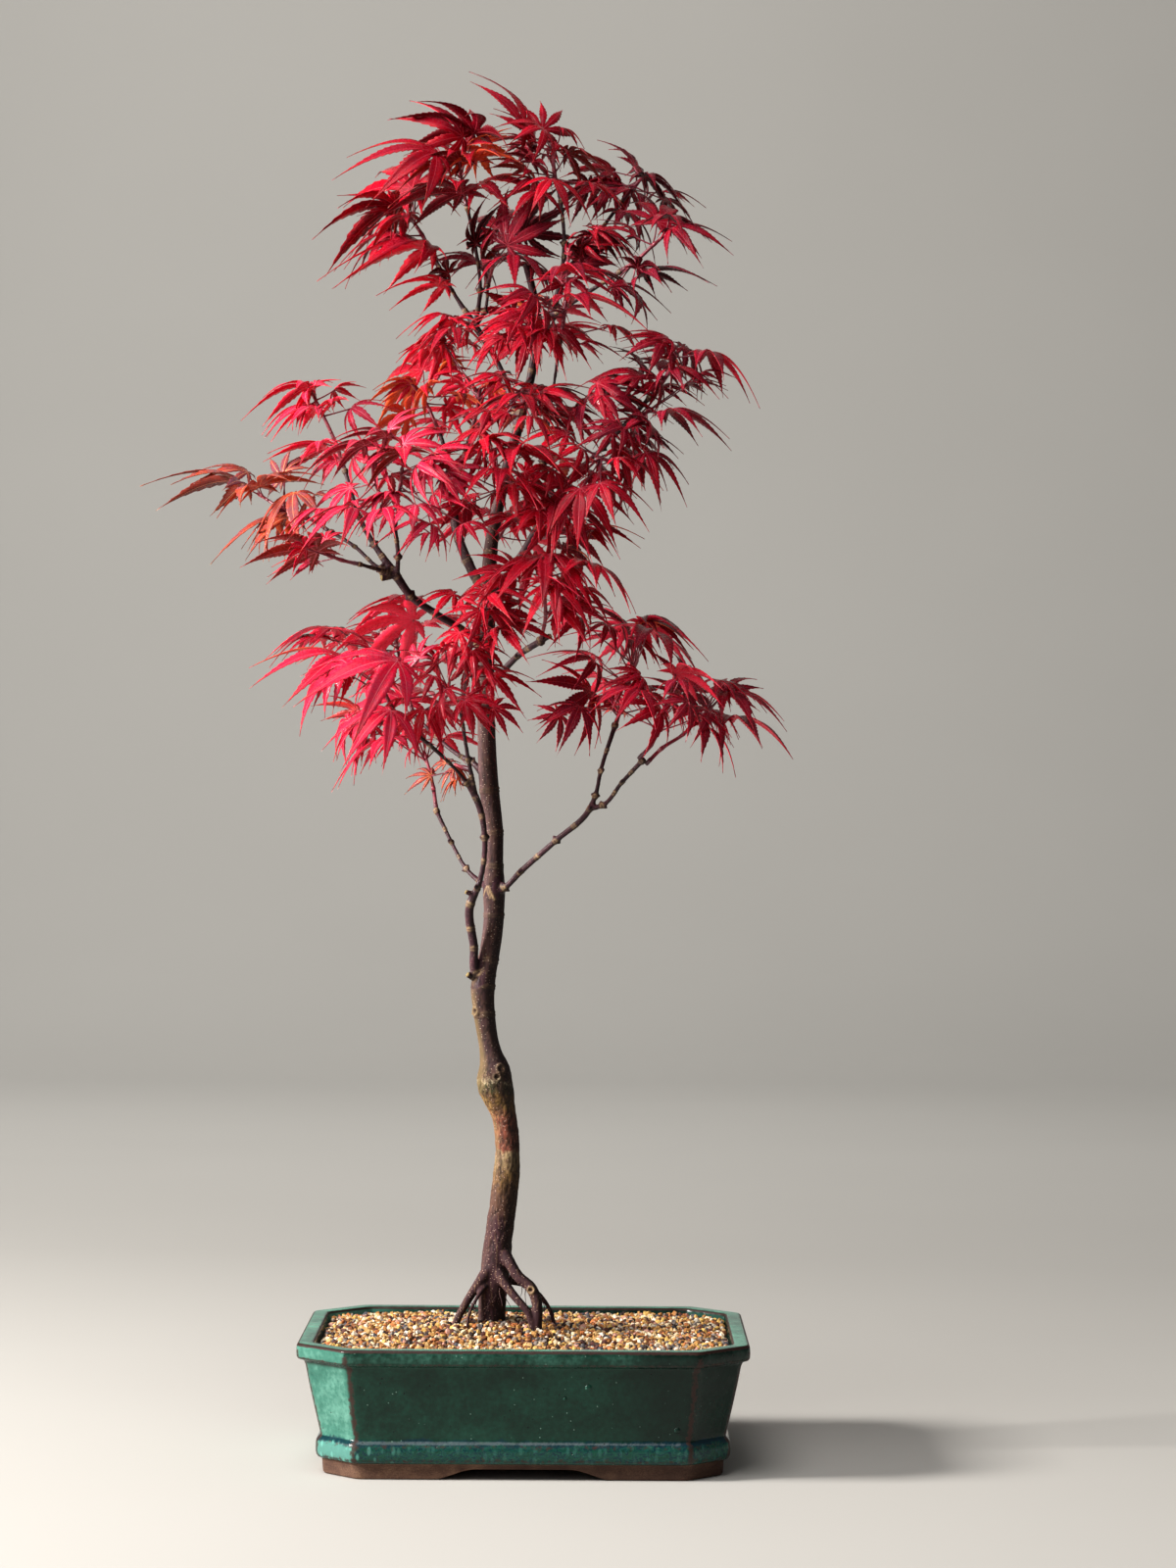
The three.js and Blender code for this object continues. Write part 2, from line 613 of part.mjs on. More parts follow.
// One leaf with its stalk as a closed mesh. The blade droops like an umbrella from its base, its
// lobes are cut nearly to it, and the longer ones are raised along their ribs.
function leafSolid(row, rand, foot) {
  const leaf = leafFrame(row, rand);
  const points = [];
  const triangles = [];
  const add = (point) => points.push(point) - 1;
  const at = (u, v, lift) => {
    const fall = (Math.sin(leaf.cup) * (u * u + v * v)) / leaf.length;
    return leaf.base
      .clone()
      .addScaledVector(leaf.forward, u * Math.cos(leaf.cup))
      .addScaledVector(leaf.side, v * Math.cos(leaf.cup))
      .addScaledVector(leaf.face, lift - fall);
  };
  const polar = (angle, reach, aside, lift = 0) => {
    const a = THREE.MathUtils.degToRad(angle);
    return at(reach * Math.cos(a) - aside * Math.sin(a), reach * Math.sin(a) + aside * Math.cos(a), lift);
  };
  const fan = (ring, top, bottom) => {
    for (let i = 0; i + 1 < ring.length; i++) {
      triangles.push(top, ring[i], ring[i + 1]);
      triangles.push(bottom, ring[i + 1], ring[i]);
    }
  };
  const top = add(at(0, 0, RIB_HALF_THICKNESS));
  const under = add(at(0, 0, -RIB_HALF_THICKNESS));
  const backRight = add(at(-BLADE_BACK * leaf.length, -BLADE_BACK_HALF, 0));
  const backLeft = add(at(-BLADE_BACK * leaf.length, BLADE_BACK_HALF, 0));
  const notches = NOTCH_REACH.map((reach, i) =>
    add(polar((LOBE_ANGLES[i] + LOBE_ANGLES[i + 1]) / 2, reach * leaf.length, 0)),
  );
  LOBE_ANGLES.forEach((angle, i) => {
    const reach = leaf.lengths[i] * leaf.length;
    const from = i === 0 ? backRight : notches[i - 1];
    const to = i === notches.length ? backLeft : notches[i];
    const tip = add(polar(angle, reach, 0));
    if (Math.abs(angle) > 100) {
      fan([from, tip, to], top, under);
      return;
    }
    const half = LOBE_HALF_WIDTH * reach;
    const right = add(polar(angle, WIDEST_AT * reach, -half));
    const left = add(polar(angle, WIDEST_AT * reach, half));
    if (Math.abs(angle) > 60) {
      fan([from, right, tip, left, to], top, under);
      return;
    }
    const rib = add(polar(angle, WIDEST_AT * reach, 0, RIB_HALF_THICKNESS));
    fan([from, right, tip, left, to], rib, under);
    triangles.push(top, from, rib, top, rib, to);
  });
  triangles.push(top, backLeft, backRight);

  const along = foot.clone().sub(leaf.base).normalize();
  const side = leaf.side.clone().addScaledVector(along, -leaf.side.dot(along)).normalize();
  const up = new THREE.Vector3().crossVectors(side, along).normalize();
  const corner = (angle) =>
    add(
      foot
        .clone()
        .addScaledVector(side, STALK_RADIUS * Math.sin(angle))
        .addScaledVector(up, -STALK_RADIUS * Math.cos(angle)),
    );
  const end = [0, -2 * Math.PI / 3, 2 * Math.PI / 3].map(corner);
  const start = [under, backRight, backLeft];
  for (let i = 0; i < 3; i++) {
    const j = (i + 1) % 3;
    triangles.push(start[i], start[j], end[j], start[i], end[j], end[i]);
  }
  triangles.push(end[0], end[1], end[2]);

  const geometry = new THREE.BufferGeometry();
  const coordinates = points.flatMap((point) => point.toArray());
  geometry.setAttribute("position", new THREE.Float32BufferAttribute(coordinates, 3));
  geometry.setIndex(triangles);
  return solidOf(geometry);
}

// Where a leaf's stalk is rooted: just below its point of the stem, each one lower than the last.
function stalkFoot(spray, row, index) {
  const node = vec(spray.stem[row[0]]);
  const below = vec(spray.stem[row[0] - 1]).sub(node);
  const before = spray.leaves.slice(0, index).filter((other) => other[0] === row[0]).length;
  return node.addScaledVector(below.normalize(), STALK_SPACING * (before + 0.8));
}

// A leafy shoot: its stem, starting at the older wood, with every leaf stalk sunk into it.
function makeShoot(spray, clearOfWood) {
  const rand = seeded(spray.seed);
  const stem = limb(spray.stem.map((p) => [...p, SHOOT_RADIUS]), 4);
  const leaves = spray.leaves.map((row, i) => leafSolid(row, rand, stalkFoot(spray, row, i)));
  return largest(joined([stem, ...leaves]).subtract(clearOfWood));
}

// A loft of eight-cornered rings, each set in from the rim's outline.
function octagonLoft(profile) {
  const points = profile.map(([inset, z]) => new THREE.Vector2(inset === null ? 0 : LOFT_REACH - inset, z));
  const shape = new THREE.LatheGeometry(points, 8, Math.PI / 8);
  shape.rotateX(Math.PI / 2);
  const position = shape.attributes.position;
  for (let i = 0; i < position.count; i++) {
    const x = position.getX(i);
    const y = position.getY(i);
    const radius = Math.hypot(x, y);
    if (radius < 1) continue;
    const inset = LOFT_REACH - radius;
    const halfX = RIM_LENGTH / 2 - inset;
    const halfY = RIM_DEPTH / 2 - inset;
    const cut = RIM_CORNER - inset * (2 - Math.SQRT2);
    const onEnd = Math.abs(x) > Math.abs(y);
    position.setX(i, Math.sign(x) * (onEnd ? halfX : halfX - cut));
    position.setY(i, Math.sign(y) * (onEnd ? halfY - cut : halfY));
  }
  return solidOf(shape);
}

// The opening under one side of the foot: low, flat in the middle, with double-curved ends.
function footArch(width, through) {
  const half = width / 2;
  const flat = half * 0.5;
  const shape = new THREE.Shape();
  shape.moveTo(-half, -1);
  shape.lineTo(half, -1);
  shape.lineTo(half, 0);
  shape.bezierCurveTo(half - 7, 0.4, flat + 9, ARCH_HEIGHT * 0.55, flat + 6, ARCH_HEIGHT * 0.8);
  shape.lineTo(flat, ARCH_HEIGHT);
  shape.lineTo(-flat, ARCH_HEIGHT);
  shape.lineTo(-flat - 6, ARCH_HEIGHT * 0.8);
  shape.bezierCurveTo(-flat - 9, ARCH_HEIGHT * 0.55, -half + 7, 0.4, -half, 0);
  const bar = new THREE.ExtrudeGeometry(shape, { depth: through, bevelEnabled: false, curveSegments: 3 });
  bar.translate(0, 0, -through / 2);
  bar.rotateX(Math.PI / 2);
  return bar;
}

function makePot() {
  const shell = octagonLoft([
    [null, FLOOR_UNDER], [FLOOR_INSET, FLOOR_UNDER], [23, 0], [14.6, 0], [14, FOOT_HEIGHT - 0.6],
    [12.6, FOOT_HEIGHT], [10.4, FOOT_HEIGHT + 3], [10.4, FOOT_HEIGHT + 9], [13, FOOT_HEIGHT + 12.6],
    [4.6, POT_HEIGHT - 11], [3.8, POT_HEIGHT - 9.6], [0.5, POT_HEIGHT - 8.6], [0, POT_HEIGHT - 6.6],
    [0, POT_HEIGHT - 1.6], [1.2, POT_HEIGHT], [WALL_THICKNESS - 1, POT_HEIGHT],
    [WALL_THICKNESS, POT_HEIGHT - RIM_BEVEL], [WALL_FOOT_INSET, FLOOR_TOP + COVE],
    [FLOOR_INSET, FLOOR_TOP], [null, FLOOR_TOP],
  ]);
  let pot = shell.subtract(solidOf(footArch(LONG_ARCH, RIM_DEPTH)));
  pot = pot.subtract(solidOf(footArch(SHORT_ARCH, RIM_LENGTH).rotateZ(Math.PI / 2)));
  for (const x of [-DRAIN_AT, DRAIN_AT]) {
    const bore = new THREE.CylinderGeometry(DRAIN_HOLE / 2, DRAIN_HOLE / 2, 20, 10);
    bore.rotateX(Math.PI / 2);
    bore.translate(x, 0, FLOOR_TOP);
    pot = pot.subtract(solidOf(bore));
  }
  return pot;
}

// A square of plastic mesh over a drain hole.
function makeDrainageMesh(x) {
  const pitch = MESH_SQUARE / 2;
  const opening = pitch * 0.72;
  let sheet = solidOf(new THREE.BoxGeometry(MESH_SQUARE, MESH_SQUARE, MESH_THICKNESS));
  for (const i of [-0.5, 0.5]) {
    for (const j of [-0.5, 0.5]) {
      const hole = new THREE.BoxGeometry(opening, opening, 2 * MESH_THICKNESS);
      sheet = sheet.subtract(solidOf(hole.translate(i * pitch, j * pitch, 0)));
    }
  }
  return sheet.translate([x, 0, FLOOR_TOP + GAP + MESH_THICKNESS / 2]);
}

const makeRootBase = (extra) =>
  joined([limb(trunk, 7, extra), ...Object.values(roots).map((root) => limb(root, 5, extra))]);

// Everything that has turned to wood, larger all round by extra.
function makeWood(extra = 0) {
  const parts = [makeRootBase(extra)];
  for (const branch of Object.values(branches)) {
    parts.push(limb(branch, branch[0][3] > THICK_BRANCH ? 5 : 4, extra));
  }
  for (const stub of Object.values(stubs)) parts.push(limb(stub, 4, extra));
  return joined(parts);
}

function gritHeight(x, y) {
  const away = Math.hypot(x - MOUND_X, y) / MOUND_REACH;
  return GRIT_LEVEL + GRIT_MOUND * Math.exp(-away * away);
}

// The space inside the pot between two heights, a gap in from its wall.
function insideOf(low, high) {
  const wallTop = POT_HEIGHT - RIM_BEVEL;
  const slope = (WALL_FOOT_INSET - WALL_THICKNESS) / (wallTop - FLOOR_TOP - COVE);
  const inset = (z) => WALL_THICKNESS + GAP + (wallTop - z) * slope;
  return octagonLoft([[null, low], [inset(low), low], [inset(high), high], [null, high]]);
}

// The gravel's surface: a field of uneven grains, level with the rim and heaped at the trunk.
function makeGrit(rootBase) {
  const rand = seeded(5);
  const across = Math.round(RIM_LENGTH / GRAIN_PITCH);
  const deep = Math.round(RIM_DEPTH / GRAIN_PITCH);
  const block = new THREE.BoxGeometry(RIM_LENGTH, RIM_DEPTH, 2, across, deep, 1);
  const position = block.attributes.position;
  const drawn = new Map();
  for (let i = 0; i < position.count; i++) {
    const x = position.getX(i);
    const y = position.getY(i);
    if (position.getZ(i) < 0) {
      position.setZ(i, SOIL_TOP - GRIT_UNDER);
      continue;
    }
    const key = Math.round(x * 10) + "," + Math.round(y * 10);
    if (!drawn.has(key)) drawn.set(key, [rand() - 0.5, rand() - 0.5, rand() - 0.5]);
    const [dx, dy, dz] = drawn.get(key);
    const inner = Math.abs(x) < RIM_LENGTH / 2 - 1 && Math.abs(y) < RIM_DEPTH / 2 - 1;
    const shift = inner ? GRAIN_PITCH * GRAIN_SHIFT : 0;
    position.setX(i, x + dx * shift);
    position.setY(i, y + dy * shift);
    position.setZ(i, gritHeight(x, y) + dz * GRAIN_RELIEF);
  }
  return solidOf(block).intersect(insideOf(SOIL_TOP + GAP, POT_HEIGHT + GRIT_UNDER)).subtract(rootBase);
}

function makeSoil(rootBase, meshes) {
  const bed = FLOOR_TOP + GAP;
  const coveTop = FLOOR_TOP + COVE + 1;
  const foot = octagonLoft([
    [null, bed], [SOIL_FOOT_INSET, bed], [WALL_FOOT_INSET + 1, coveTop], [null, coveTop],
  ]);
  let soil = insideOf(coveTop - GAP, SOIL_TOP).add(foot);
  for (const x of meshes) {
    const width = MESH_SQUARE + 2 * GAP;
    const pocket = new THREE.BoxGeometry(width, width, 2 * (MESH_THICKNESS + GAP));
    pocket.translate(x, 0, bed);
    soil = soil.subtract(solidOf(pocket));
  }
  return soil.subtract(rootBase);
}

const maple = new THREE.Group();

function addPiece(name, solid, look) {
  const material = new THREE.MeshStandardMaterial({ metalness: 0, ...look });
  const mesh = new THREE.Mesh(geometryOf(solid), material);
  mesh.name = name;
  maple.add(mesh);
}

const meshPlaces = { left: -DRAIN_AT, right: DRAIN_AT };
const rootBase = makeRootBase(GAP);
addPiece("pot", makePot(), looks.glaze);
for (const [side, x] of Object.entries(meshPlaces)) {
  addPiece("drainage_mesh_" + side, makeDrainageMesh(x), looks.plastic);
}
addPiece("soil", makeSoil(rootBase, Object.values(meshPlaces)), looks.soil);
addPiece("grit", makeGrit(rootBase), looks.grit);
addPiece("tree", makeWood(), looks.bark);
const clearOfWood = makeWood(GAP);
for (const spray of sprays) {
  addPiece(spray.name + "_shoot", makeShoot(spray, clearOfWood), looks[spray.look]);
}

// The origin is under the middle of the whole, on the surface that the pot stands on.
const middle = new THREE.Box3().setFromObject(maple).getCenter(new THREE.Vector3());
maple.position.set(-middle.x, -middle.y, 0);

export default maple;
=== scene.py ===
# A red-leaved broom japanese maple bonsai in its glazed octagonal pot.
# Everything is set out in millimetres about the pot's centre line, front facing -Y, and is
# turned into the frame's metres when a piece is finished.
import bpy
import bmesh
import math
import random
from bmesh.types import BMEdge, BMFace, BMVert
from mathutils import Matrix, Quaternion, Vector, noise
from mathutils.kdtree import KDTree


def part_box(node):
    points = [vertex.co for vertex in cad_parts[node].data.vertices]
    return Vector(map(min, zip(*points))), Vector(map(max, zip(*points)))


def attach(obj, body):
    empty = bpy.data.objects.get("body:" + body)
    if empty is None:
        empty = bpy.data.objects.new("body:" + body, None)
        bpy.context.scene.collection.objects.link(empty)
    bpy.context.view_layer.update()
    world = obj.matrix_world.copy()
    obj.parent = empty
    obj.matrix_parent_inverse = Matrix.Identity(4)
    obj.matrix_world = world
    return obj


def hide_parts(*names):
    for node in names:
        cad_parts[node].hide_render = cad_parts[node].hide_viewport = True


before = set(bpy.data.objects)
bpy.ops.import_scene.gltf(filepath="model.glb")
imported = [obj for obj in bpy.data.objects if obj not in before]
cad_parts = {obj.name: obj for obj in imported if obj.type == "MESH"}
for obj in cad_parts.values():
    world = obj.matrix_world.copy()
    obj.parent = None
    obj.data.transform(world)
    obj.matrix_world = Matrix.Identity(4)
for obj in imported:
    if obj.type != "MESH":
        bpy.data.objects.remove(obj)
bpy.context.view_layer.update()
potLow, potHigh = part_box("pot")
millimetre = 0.001
potMiddle = ((potLow.x + potHigh.x) / 2, (potLow.y + potHigh.y) / 2, 0)
toFrame = Matrix.Translation(potMiddle) @ Matrix.Scale(millimetre, 4)
fromFrame = toFrame.inverted()
scene = bpy.context.scene
print("frame loaded:", len(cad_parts), "nodes")

# the node tree that is being written, and its shader
canvas = {}


class Signal:
    # one output of a node; it adds, subtracts and multiplies as a number does
    def __init__(self, socket):
        self.socket = socket

    def __add__(self, other):
        return calc("ADD", self, other)

    def __sub__(self, other):
        return calc("SUBTRACT", self, other)

    def __rsub__(self, other):
        return calc("SUBTRACT", other, self)

    def __mul__(self, other):
        return calc("MULTIPLY", self, other)


def tint(code):
    # a colour written as rrggbb, as the shaders' linear light
    parts = [int(code[i:i + 2], 16) / 255 for i in (0, 2, 4)]
    return tuple(p / 12.92 if p <= 0.04045 else ((p + 0.055) / 1.055) ** 2.4 for p in parts) + (1.0,)


def feed(socket, value):
    # a value is a number, a vector, a colour written as rrggbb, or a signal
    if isinstance(value, Signal):
        canvas["tree"].links.new(value.socket, socket)
    elif value is not None:
        socket.default_value = tint(value) if isinstance(value, str) else value


def signal(kind, output, inputs, **settings):
    node = canvas["tree"].nodes.new("ShaderNode" + kind)
    for key, value in settings.items():
        setattr(node, key, value)
    for key, value in inputs.items():
        feed(node.inputs[key], value)
    return Signal(node.outputs[output])


def calc(operation, a, b=None):
    return signal("Math", 0, {0: a, 1: b}, operation=operation)


def most(a, b):
    return calc("MAXIMUM", a, b)


def blend(factor, a, b, mode="MIX"):
    return signal("Mix", 2, {0: factor, 6: a, 7: b}, data_type="RGBA", blend_type=mode, clamp_factor=True)


def speckle(where, scale, detail=3.0, roughness=0.55, distortion=0.0):
    inputs = {"Vector": where, "Scale": scale, "Detail": detail, "Roughness": roughness, "Distortion": distortion}
    return signal("TexNoise", "Fac", inputs)


def cells(where, scale, feature="F1", randomness=1.0):
    inputs = {"Vector": where, "Scale": scale, "Randomness": randomness}
    return signal("TexVoronoi", "Distance", inputs, feature=feature)


def span(value, low, high, start=0.0, end=1.0, kind="SMOOTHSTEP"):
    inputs = {"Value": value, "From Min": low, "From Max": high, "To Min": start, "To Max": end}
    return signal("MapRange", 0, inputs, interpolation_type=kind, clamp=True)


def ramp(factor, stops, interpolation="LINEAR"):
    # the stops are places and colours by turns
    colour = signal("ValToRGB", "Color", {"Fac": factor})
    bar = colour.socket.node.color_ramp
    bar.interpolation = interpolation
    marks = stops.split()
    while len(bar.elements) < len(marks) // 2:
        bar.elements.new(1.0)
    for element, at, code in zip(bar.elements, marks[::2], marks[1::2]):
        element.position = float(at)
        element.color = tint(code)
    return colour


def carried(name, output="Fac"):
    return signal("Attribute", output, {}, attribute_type="GEOMETRY", attribute_name=name)


def split(vector):
    node = signal("SeparateXYZ", 0, {0: vector}).socket.node
    return [Signal(output) for output in node.outputs]


def coordinates(kind):
    return signal("TexCoord", kind, {})


def place(x=1, y=1, z=1):
    # object coordinates in millimetres, so every scale below is per millimetre
    return signal("Mapping", 0, {"Vector": coordinates("Object"), "Scale": (1000 * x, 1000 * y, 1000 * z)})


def facing(x, y, z):
    # how far the surface faces one way
    return signal("VectorMath", "Value", {0: coordinates("Normal"), 1: (x, y, z)}, operation="DOT_PRODUCT")


def newMaterial(name, **values):
    material = bpy.data.materials.new(name)
    material.use_nodes = True
    canvas["tree"] = material.node_tree
    canvas["shader"] = material.node_tree.nodes["Principled BSDF"]
    for key, value in values.items():
        canvas["shader"].inputs[key.replace("_", " ")].default_value = value
    return material


def finishMaterial(colour, rough, height=None, depth=0.0002, strength=1.0):
    inputs = canvas["shader"].inputs
    feed(inputs["Base Color"], colour)
    feed(inputs["Roughness"], rough)
    if height is not None:
        feed(inputs["Normal"], signal("Bump", "Normal", {"Height": height, "Distance": depth, "Strength": strength}))


def newGroup(name, inputs):
    # an input with no number is a vector
    group = bpy.data.node_groups.new(name, "ShaderNodeTree")
    for label, value in inputs.items():
        kind = "NodeSocketVector" if value is None else "NodeSocketFloat"
        socket = group.interface.new_socket(name=label, in_out="INPUT", socket_type=kind)
        if value is not None:
            socket.default_value = value
    canvas["tree"] = group
    given = group.nodes.new("NodeGroupInput")
    return group, [Signal(given.outputs[label]) for label in inputs]


def finishGroup(masks):
    group = canvas["tree"]
    for label in masks:
        group.interface.new_socket(name=label, in_out="OUTPUT", socket_type="NodeSocketFloat")
    out = group.nodes.new("NodeGroupOutput")
    for label, value in masks.items():
        feed(out.inputs[label], value)


# a cloudy mask in two sizes, for glaze, clay, wood, soil, leaves and plastic alike
cloudy, given = newGroup("cloudy", {"Where": None, "Coarse": 0.05, "Fine": 0.6, "Share": 0.35})
where, coarse, fine, share = given
coarse, fine = speckle(where, coarse, 3.0, 0.55, 0.6), speckle(where, fine, 4.0)
finishGroup({"Mask": signal("Mix", 0, {0: share, 2: coarse, 3: fine}, data_type="FLOAT")})

# where an edge has worn through: a carried edge value broken up by noise
edgeWear, given = newGroup("edgeWear", {"Where": None, "Edge": 0.0, "Amount": 0.5, "Scale": 0.5})
where, edge, amount, scale = given
lifted = edge + (speckle(where, scale, 5.0, 0.65) - 0.5) * 1.3
finishGroup({"Mask": span(lifted - (1.0 - amount), 0.0, 0.3) * span(edge, 0.02, 0.3)})


def cloud(where, coarse, fine, share):
    inputs = {"Where": where, "Coarse": coarse, "Fine": fine, "Share": share}
    return signal("Group", "Mask", inputs, node_tree=cloudy)


def only(kind, items):
    return [item for item in items if isinstance(item, kind)]


def meshOf(bm):
    mesh = bpy.data.meshes.new("part")
    bm.to_mesh(mesh)
    bm.free()
    return mesh


def inFrame(bm):
    bmesh.ops.transform(bm, matrix=toFrame, verts=bm.verts)


def withLayers(kind, *names):
    # an empty bmesh that carries values at its vertices
    bm = bmesh.new()
    for name in names:
        getattr(bm.verts.layers, kind).new(name)
    return bm


def pieceOf(name, mesh, materials):
    for material in materials:
        mesh.materials.append(material)
    piece = bpy.data.objects.new(name, mesh)
    scene.collection.objects.link(piece)
    return piece


def settle(piece):
    # works the modifiers into the piece's own mesh
    bpy.context.view_layer.update()
    graph = bpy.context.evaluated_depsgraph_get()
    mesh = bpy.data.meshes.new_from_object(piece.evaluated_get(graph), preserve_all_data_layers=True, depsgraph=graph)
    piece.modifiers.clear()
    spent = piece.data
    piece.data = mesh
    bpy.data.meshes.remove(spent)
    return piece


def melt(piece):
    # takes a piece back into a bmesh and clears it away
    bm = bmesh.new()
    bm.from_mesh(piece.data)
    spent = piece.data
    bpy.data.objects.remove(piece)
    bpy.data.meshes.remove(spent)
    return bm


def standFor(piece, slot, node):
    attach(piece, "root")
    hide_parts(node)
    return piece


def smoothPath(points, spacing):
    # a curve through (x, y, z, radius) points, sampled about every spacing
    spots = [Vector(p[:3]) for p in points]
    girths = [p[3] for p in points]
    gaps = [(b - a).length for a, b in zip(spots, spots[1:])]
    last = len(points) - 1
    slopes, swells = [], []
    for i in range(last + 1):
        a, b = max(i - 1, 0), min(i, last - 1)
        before, after = [(spots[k + 1] - spots[k]) / gaps[k] for k in (a, b)]
        thinner, thicker = [(girths[k + 1] - girths[k]) / gaps[k] for k in (a, b)]
        share = gaps[a] / (gaps[a] + gaps[b])
        slopes.append(before.lerp(after, share))
        swells.append(0.0 if thinner * thicker <= 0 else thinner + (thicker - thinner) * share)
    path = []
    for i, gap in enumerate(gaps):
        steps = max(1, math.ceil(gap / spacing))
        for k in range(steps + (i == last - 1)):
            t = k / steps
            h0, h1 = 2 * t**3 - 3 * t**2 + 1, 3 * t**2 - 2 * t**3
            g0, g1 = (t**3 - 2 * t**2 + t) * gap, (t**3 - t**2) * gap
            spot = spots[i] * h0 + spots[i + 1] * h1 + slopes[i] * g0 + slopes[i + 1] * g1
            girth = girths[i] * h0 + girths[i + 1] * h1 + swells[i] * g0 + swells[i + 1] * g1
            path.append((spot, girth))
    return path


def waysAlong(spots):
    return [(b - a).normalized() for a, b in zip([spots[0], *spots], [*spots[1:], spots[-1]])]


def tube(path, sides):
    # a closed tube along (place, radius) steps: a capped circle, extruded and carried along without twist
    bm = bmesh.new()
    spots = [spot for spot, girth in path]
    ways = waysAlong(spots)
    turn = Vector((0, 0, 1)).rotation_difference(ways[0])
    ring = bmesh.ops.create_circle(bm, cap_ends=True, segments=sides, radius=path[0][1])["verts"]
    bmesh.ops.transform(bm, matrix=Matrix.Translation(spots[0]) @ turn.to_matrix().to_4x4(), verts=ring)
    cap = bm.faces[:]
    for i in range(1, len(path)):
        out = bmesh.ops.extrude_face_region(bm, geom=cap)["geom"]
        cap = only(BMFace, out)
        bend = ways[i - 1].rotation_difference(ways[i]).to_matrix().to_4x4()
        grow = Matrix.Scale(path[i][1] / path[i - 1][1], 4)
        carry = Matrix.Translation(spots[i]) @ bend @ grow @ Matrix.Translation(-spots[i - 1])
        bmesh.ops.transform(bm, matrix=carry, verts=only(BMVert, out))
    bmesh.ops.recalc_face_normals(bm, faces=bm.faces)
    return meshOf(bm)


def joinInto(bm, meshes, materialIndex=0):
    # copies finished meshes into one bmesh and clears them away
    for mesh in meshes:
        start = len(bm.faces)
        bm.from_mesh(mesh)
        bm.faces.ensure_lookup_table()
        for k in range(start, len(bm.faces)):
            bm.faces[k].material_index = materialIndex
        bpy.data.meshes.remove(mesh)
    return bm


potShape = {
    "length": 250, "depth": 190, "corner": 28, "height": 72.7, "foot": 9.0, "floorUnder": 9.6, "floorTop": 17,
    "arrisRound": 3.0,                  # how far the rounding of an upright edge reaches along each side
    "arrisPull": 0.2,                   # and how far its edge is pulled in, as a share of that
    "arrisEdge": 0.35, "arrisWear": 0.75,       # how far it counts as an edge beside itself, and to the glaze
    "sideStep": 6.0,                    # from an upright edge to the first full section
    "floorInset": 24,
    "outerRows": (12, 34),              # the section's rows that the glaze covers outside
    "sway": 0.25, "swayScale": 0.02,    # hand-pressed walls bow and dip by a fraction of a millimetre
    "glazedX": 115.6, "glazedY": 85.6, "glazedSlant": 178.7, "glazedFrom": 0.93,
    "bareLedge": 0.05, "facingDown": -0.98,     # just above the foot, and under it, the clay stays bare
    "arches": ((102, 200, False), (62, 260, True)), "archHeight": 6, "archSteps": 8,
    "drainHole": 16, "drainAt": 56, "boreDepth": 20, "boreSides": 32,
    # beads of glaze on the front: place and size
    "drops": ((36.1, -88.6, 52.2, 1.9), (84.7, -83.5, 28.2, 1.7), (23.3, -87.8, 45.8, 1.0)),
    "dropFlat": 0.45, "dropSteps": (14, 9),
    "sharpAngle": 34, "merge": 1e-4,
}

glaze = newMaterial("pooledGlaze", Coat_Weight=0.16, Coat_Roughness=0.03, Specular_IOR_Level=0.15)
where = place()
across, inward, height = split(where)
mottle, fleck = cloud(where, 0.045, 0.35, 0.42), cloud(where, 0.9, 2.2, 0.5)
body = ramp(mottle, "0.28 0a241c  0.45 0f3126  0.6 143e31  0.78 1d5040")
body = blend(span(fleck, 0.6, 0.72) * 0.3, body, "3d7a68")
body = blend(span(cells(where, 0.21), 0.075, 0.04) * 0.7, body, "9cc4b4")
# thicker glaze breaks greener on the rim band; painted light makes the glaze lighter and greener towards the left
# front corner and where it faces the key light, and painted shade darkens it to the right
onRim = span(height, 71.6, 72.5)
rimBand = span(height, 63.0, 65.0) * span(mottle, 0.42, 0.66)
paintedLitSide = most(span(inward * 0.35 - across, 62.0, 96.0), span(facing(-0.76, -0.65, 0.0), 0.86, 0.96))
rimBreakAndPaintedLight = ramp(mottle, "0.3 286052  0.5 407868  0.7 689f8e")
body = blend(most(rimBand * 0.26, paintedLitSide * 0.92), body, rimBreakAndPaintedLight)
# painted shade: the glaze darkened towards the right, away from the key light
body = blend(span(inward * 0.35 + across, 40.0, 84.0) * 0.7, body, "06130f")
cracks = span(cells(where, 0.42, "DISTANCE_TO_EDGE"), 0.035, 0.0)
rimColour = blend(span(mottle, 0.35, 0.7), "1f6253", "5aa68c")
rimColour = blend(cracks * 0.5, rimColour, "0e3b31")
body = blend(onRim * 0.85, body, rimColour)
# glaze pooled along the base moulding: a dark wavy upper border, green cells with pale edges below it
pooledTo = height + (speckle(place(1, 1, 0.1), 0.11, 4.0, 0.6) - 0.5) * 9.0
pooled = span(pooledTo, 20.5, 19.0) * span(height, 9.0, 10.2)
border = span(pooledTo, 22.6, 20.8) * span(pooledTo, 18.4, 19.6)
flow = speckle(place(1, 1, 1.6), 0.16, 3.0, 0.5, 1.6)
crystals = ramp(flow, "0.30 14463b  0.42 256c58  0.47 123a4c  0.50 102f48  0.53 2a7468  0.62 195043  0.75 4a8f7e")
drips = span(cells(place(1, 1, 0.45), 0.3, "F1", 0.8), 0.42, 0.2) * span(across, -20.0, -80.0, 0.1, 0.85)
crystals = blend(0.55, crystals, "08221a")
crystals = blend(drips, crystals, "6db6a6")
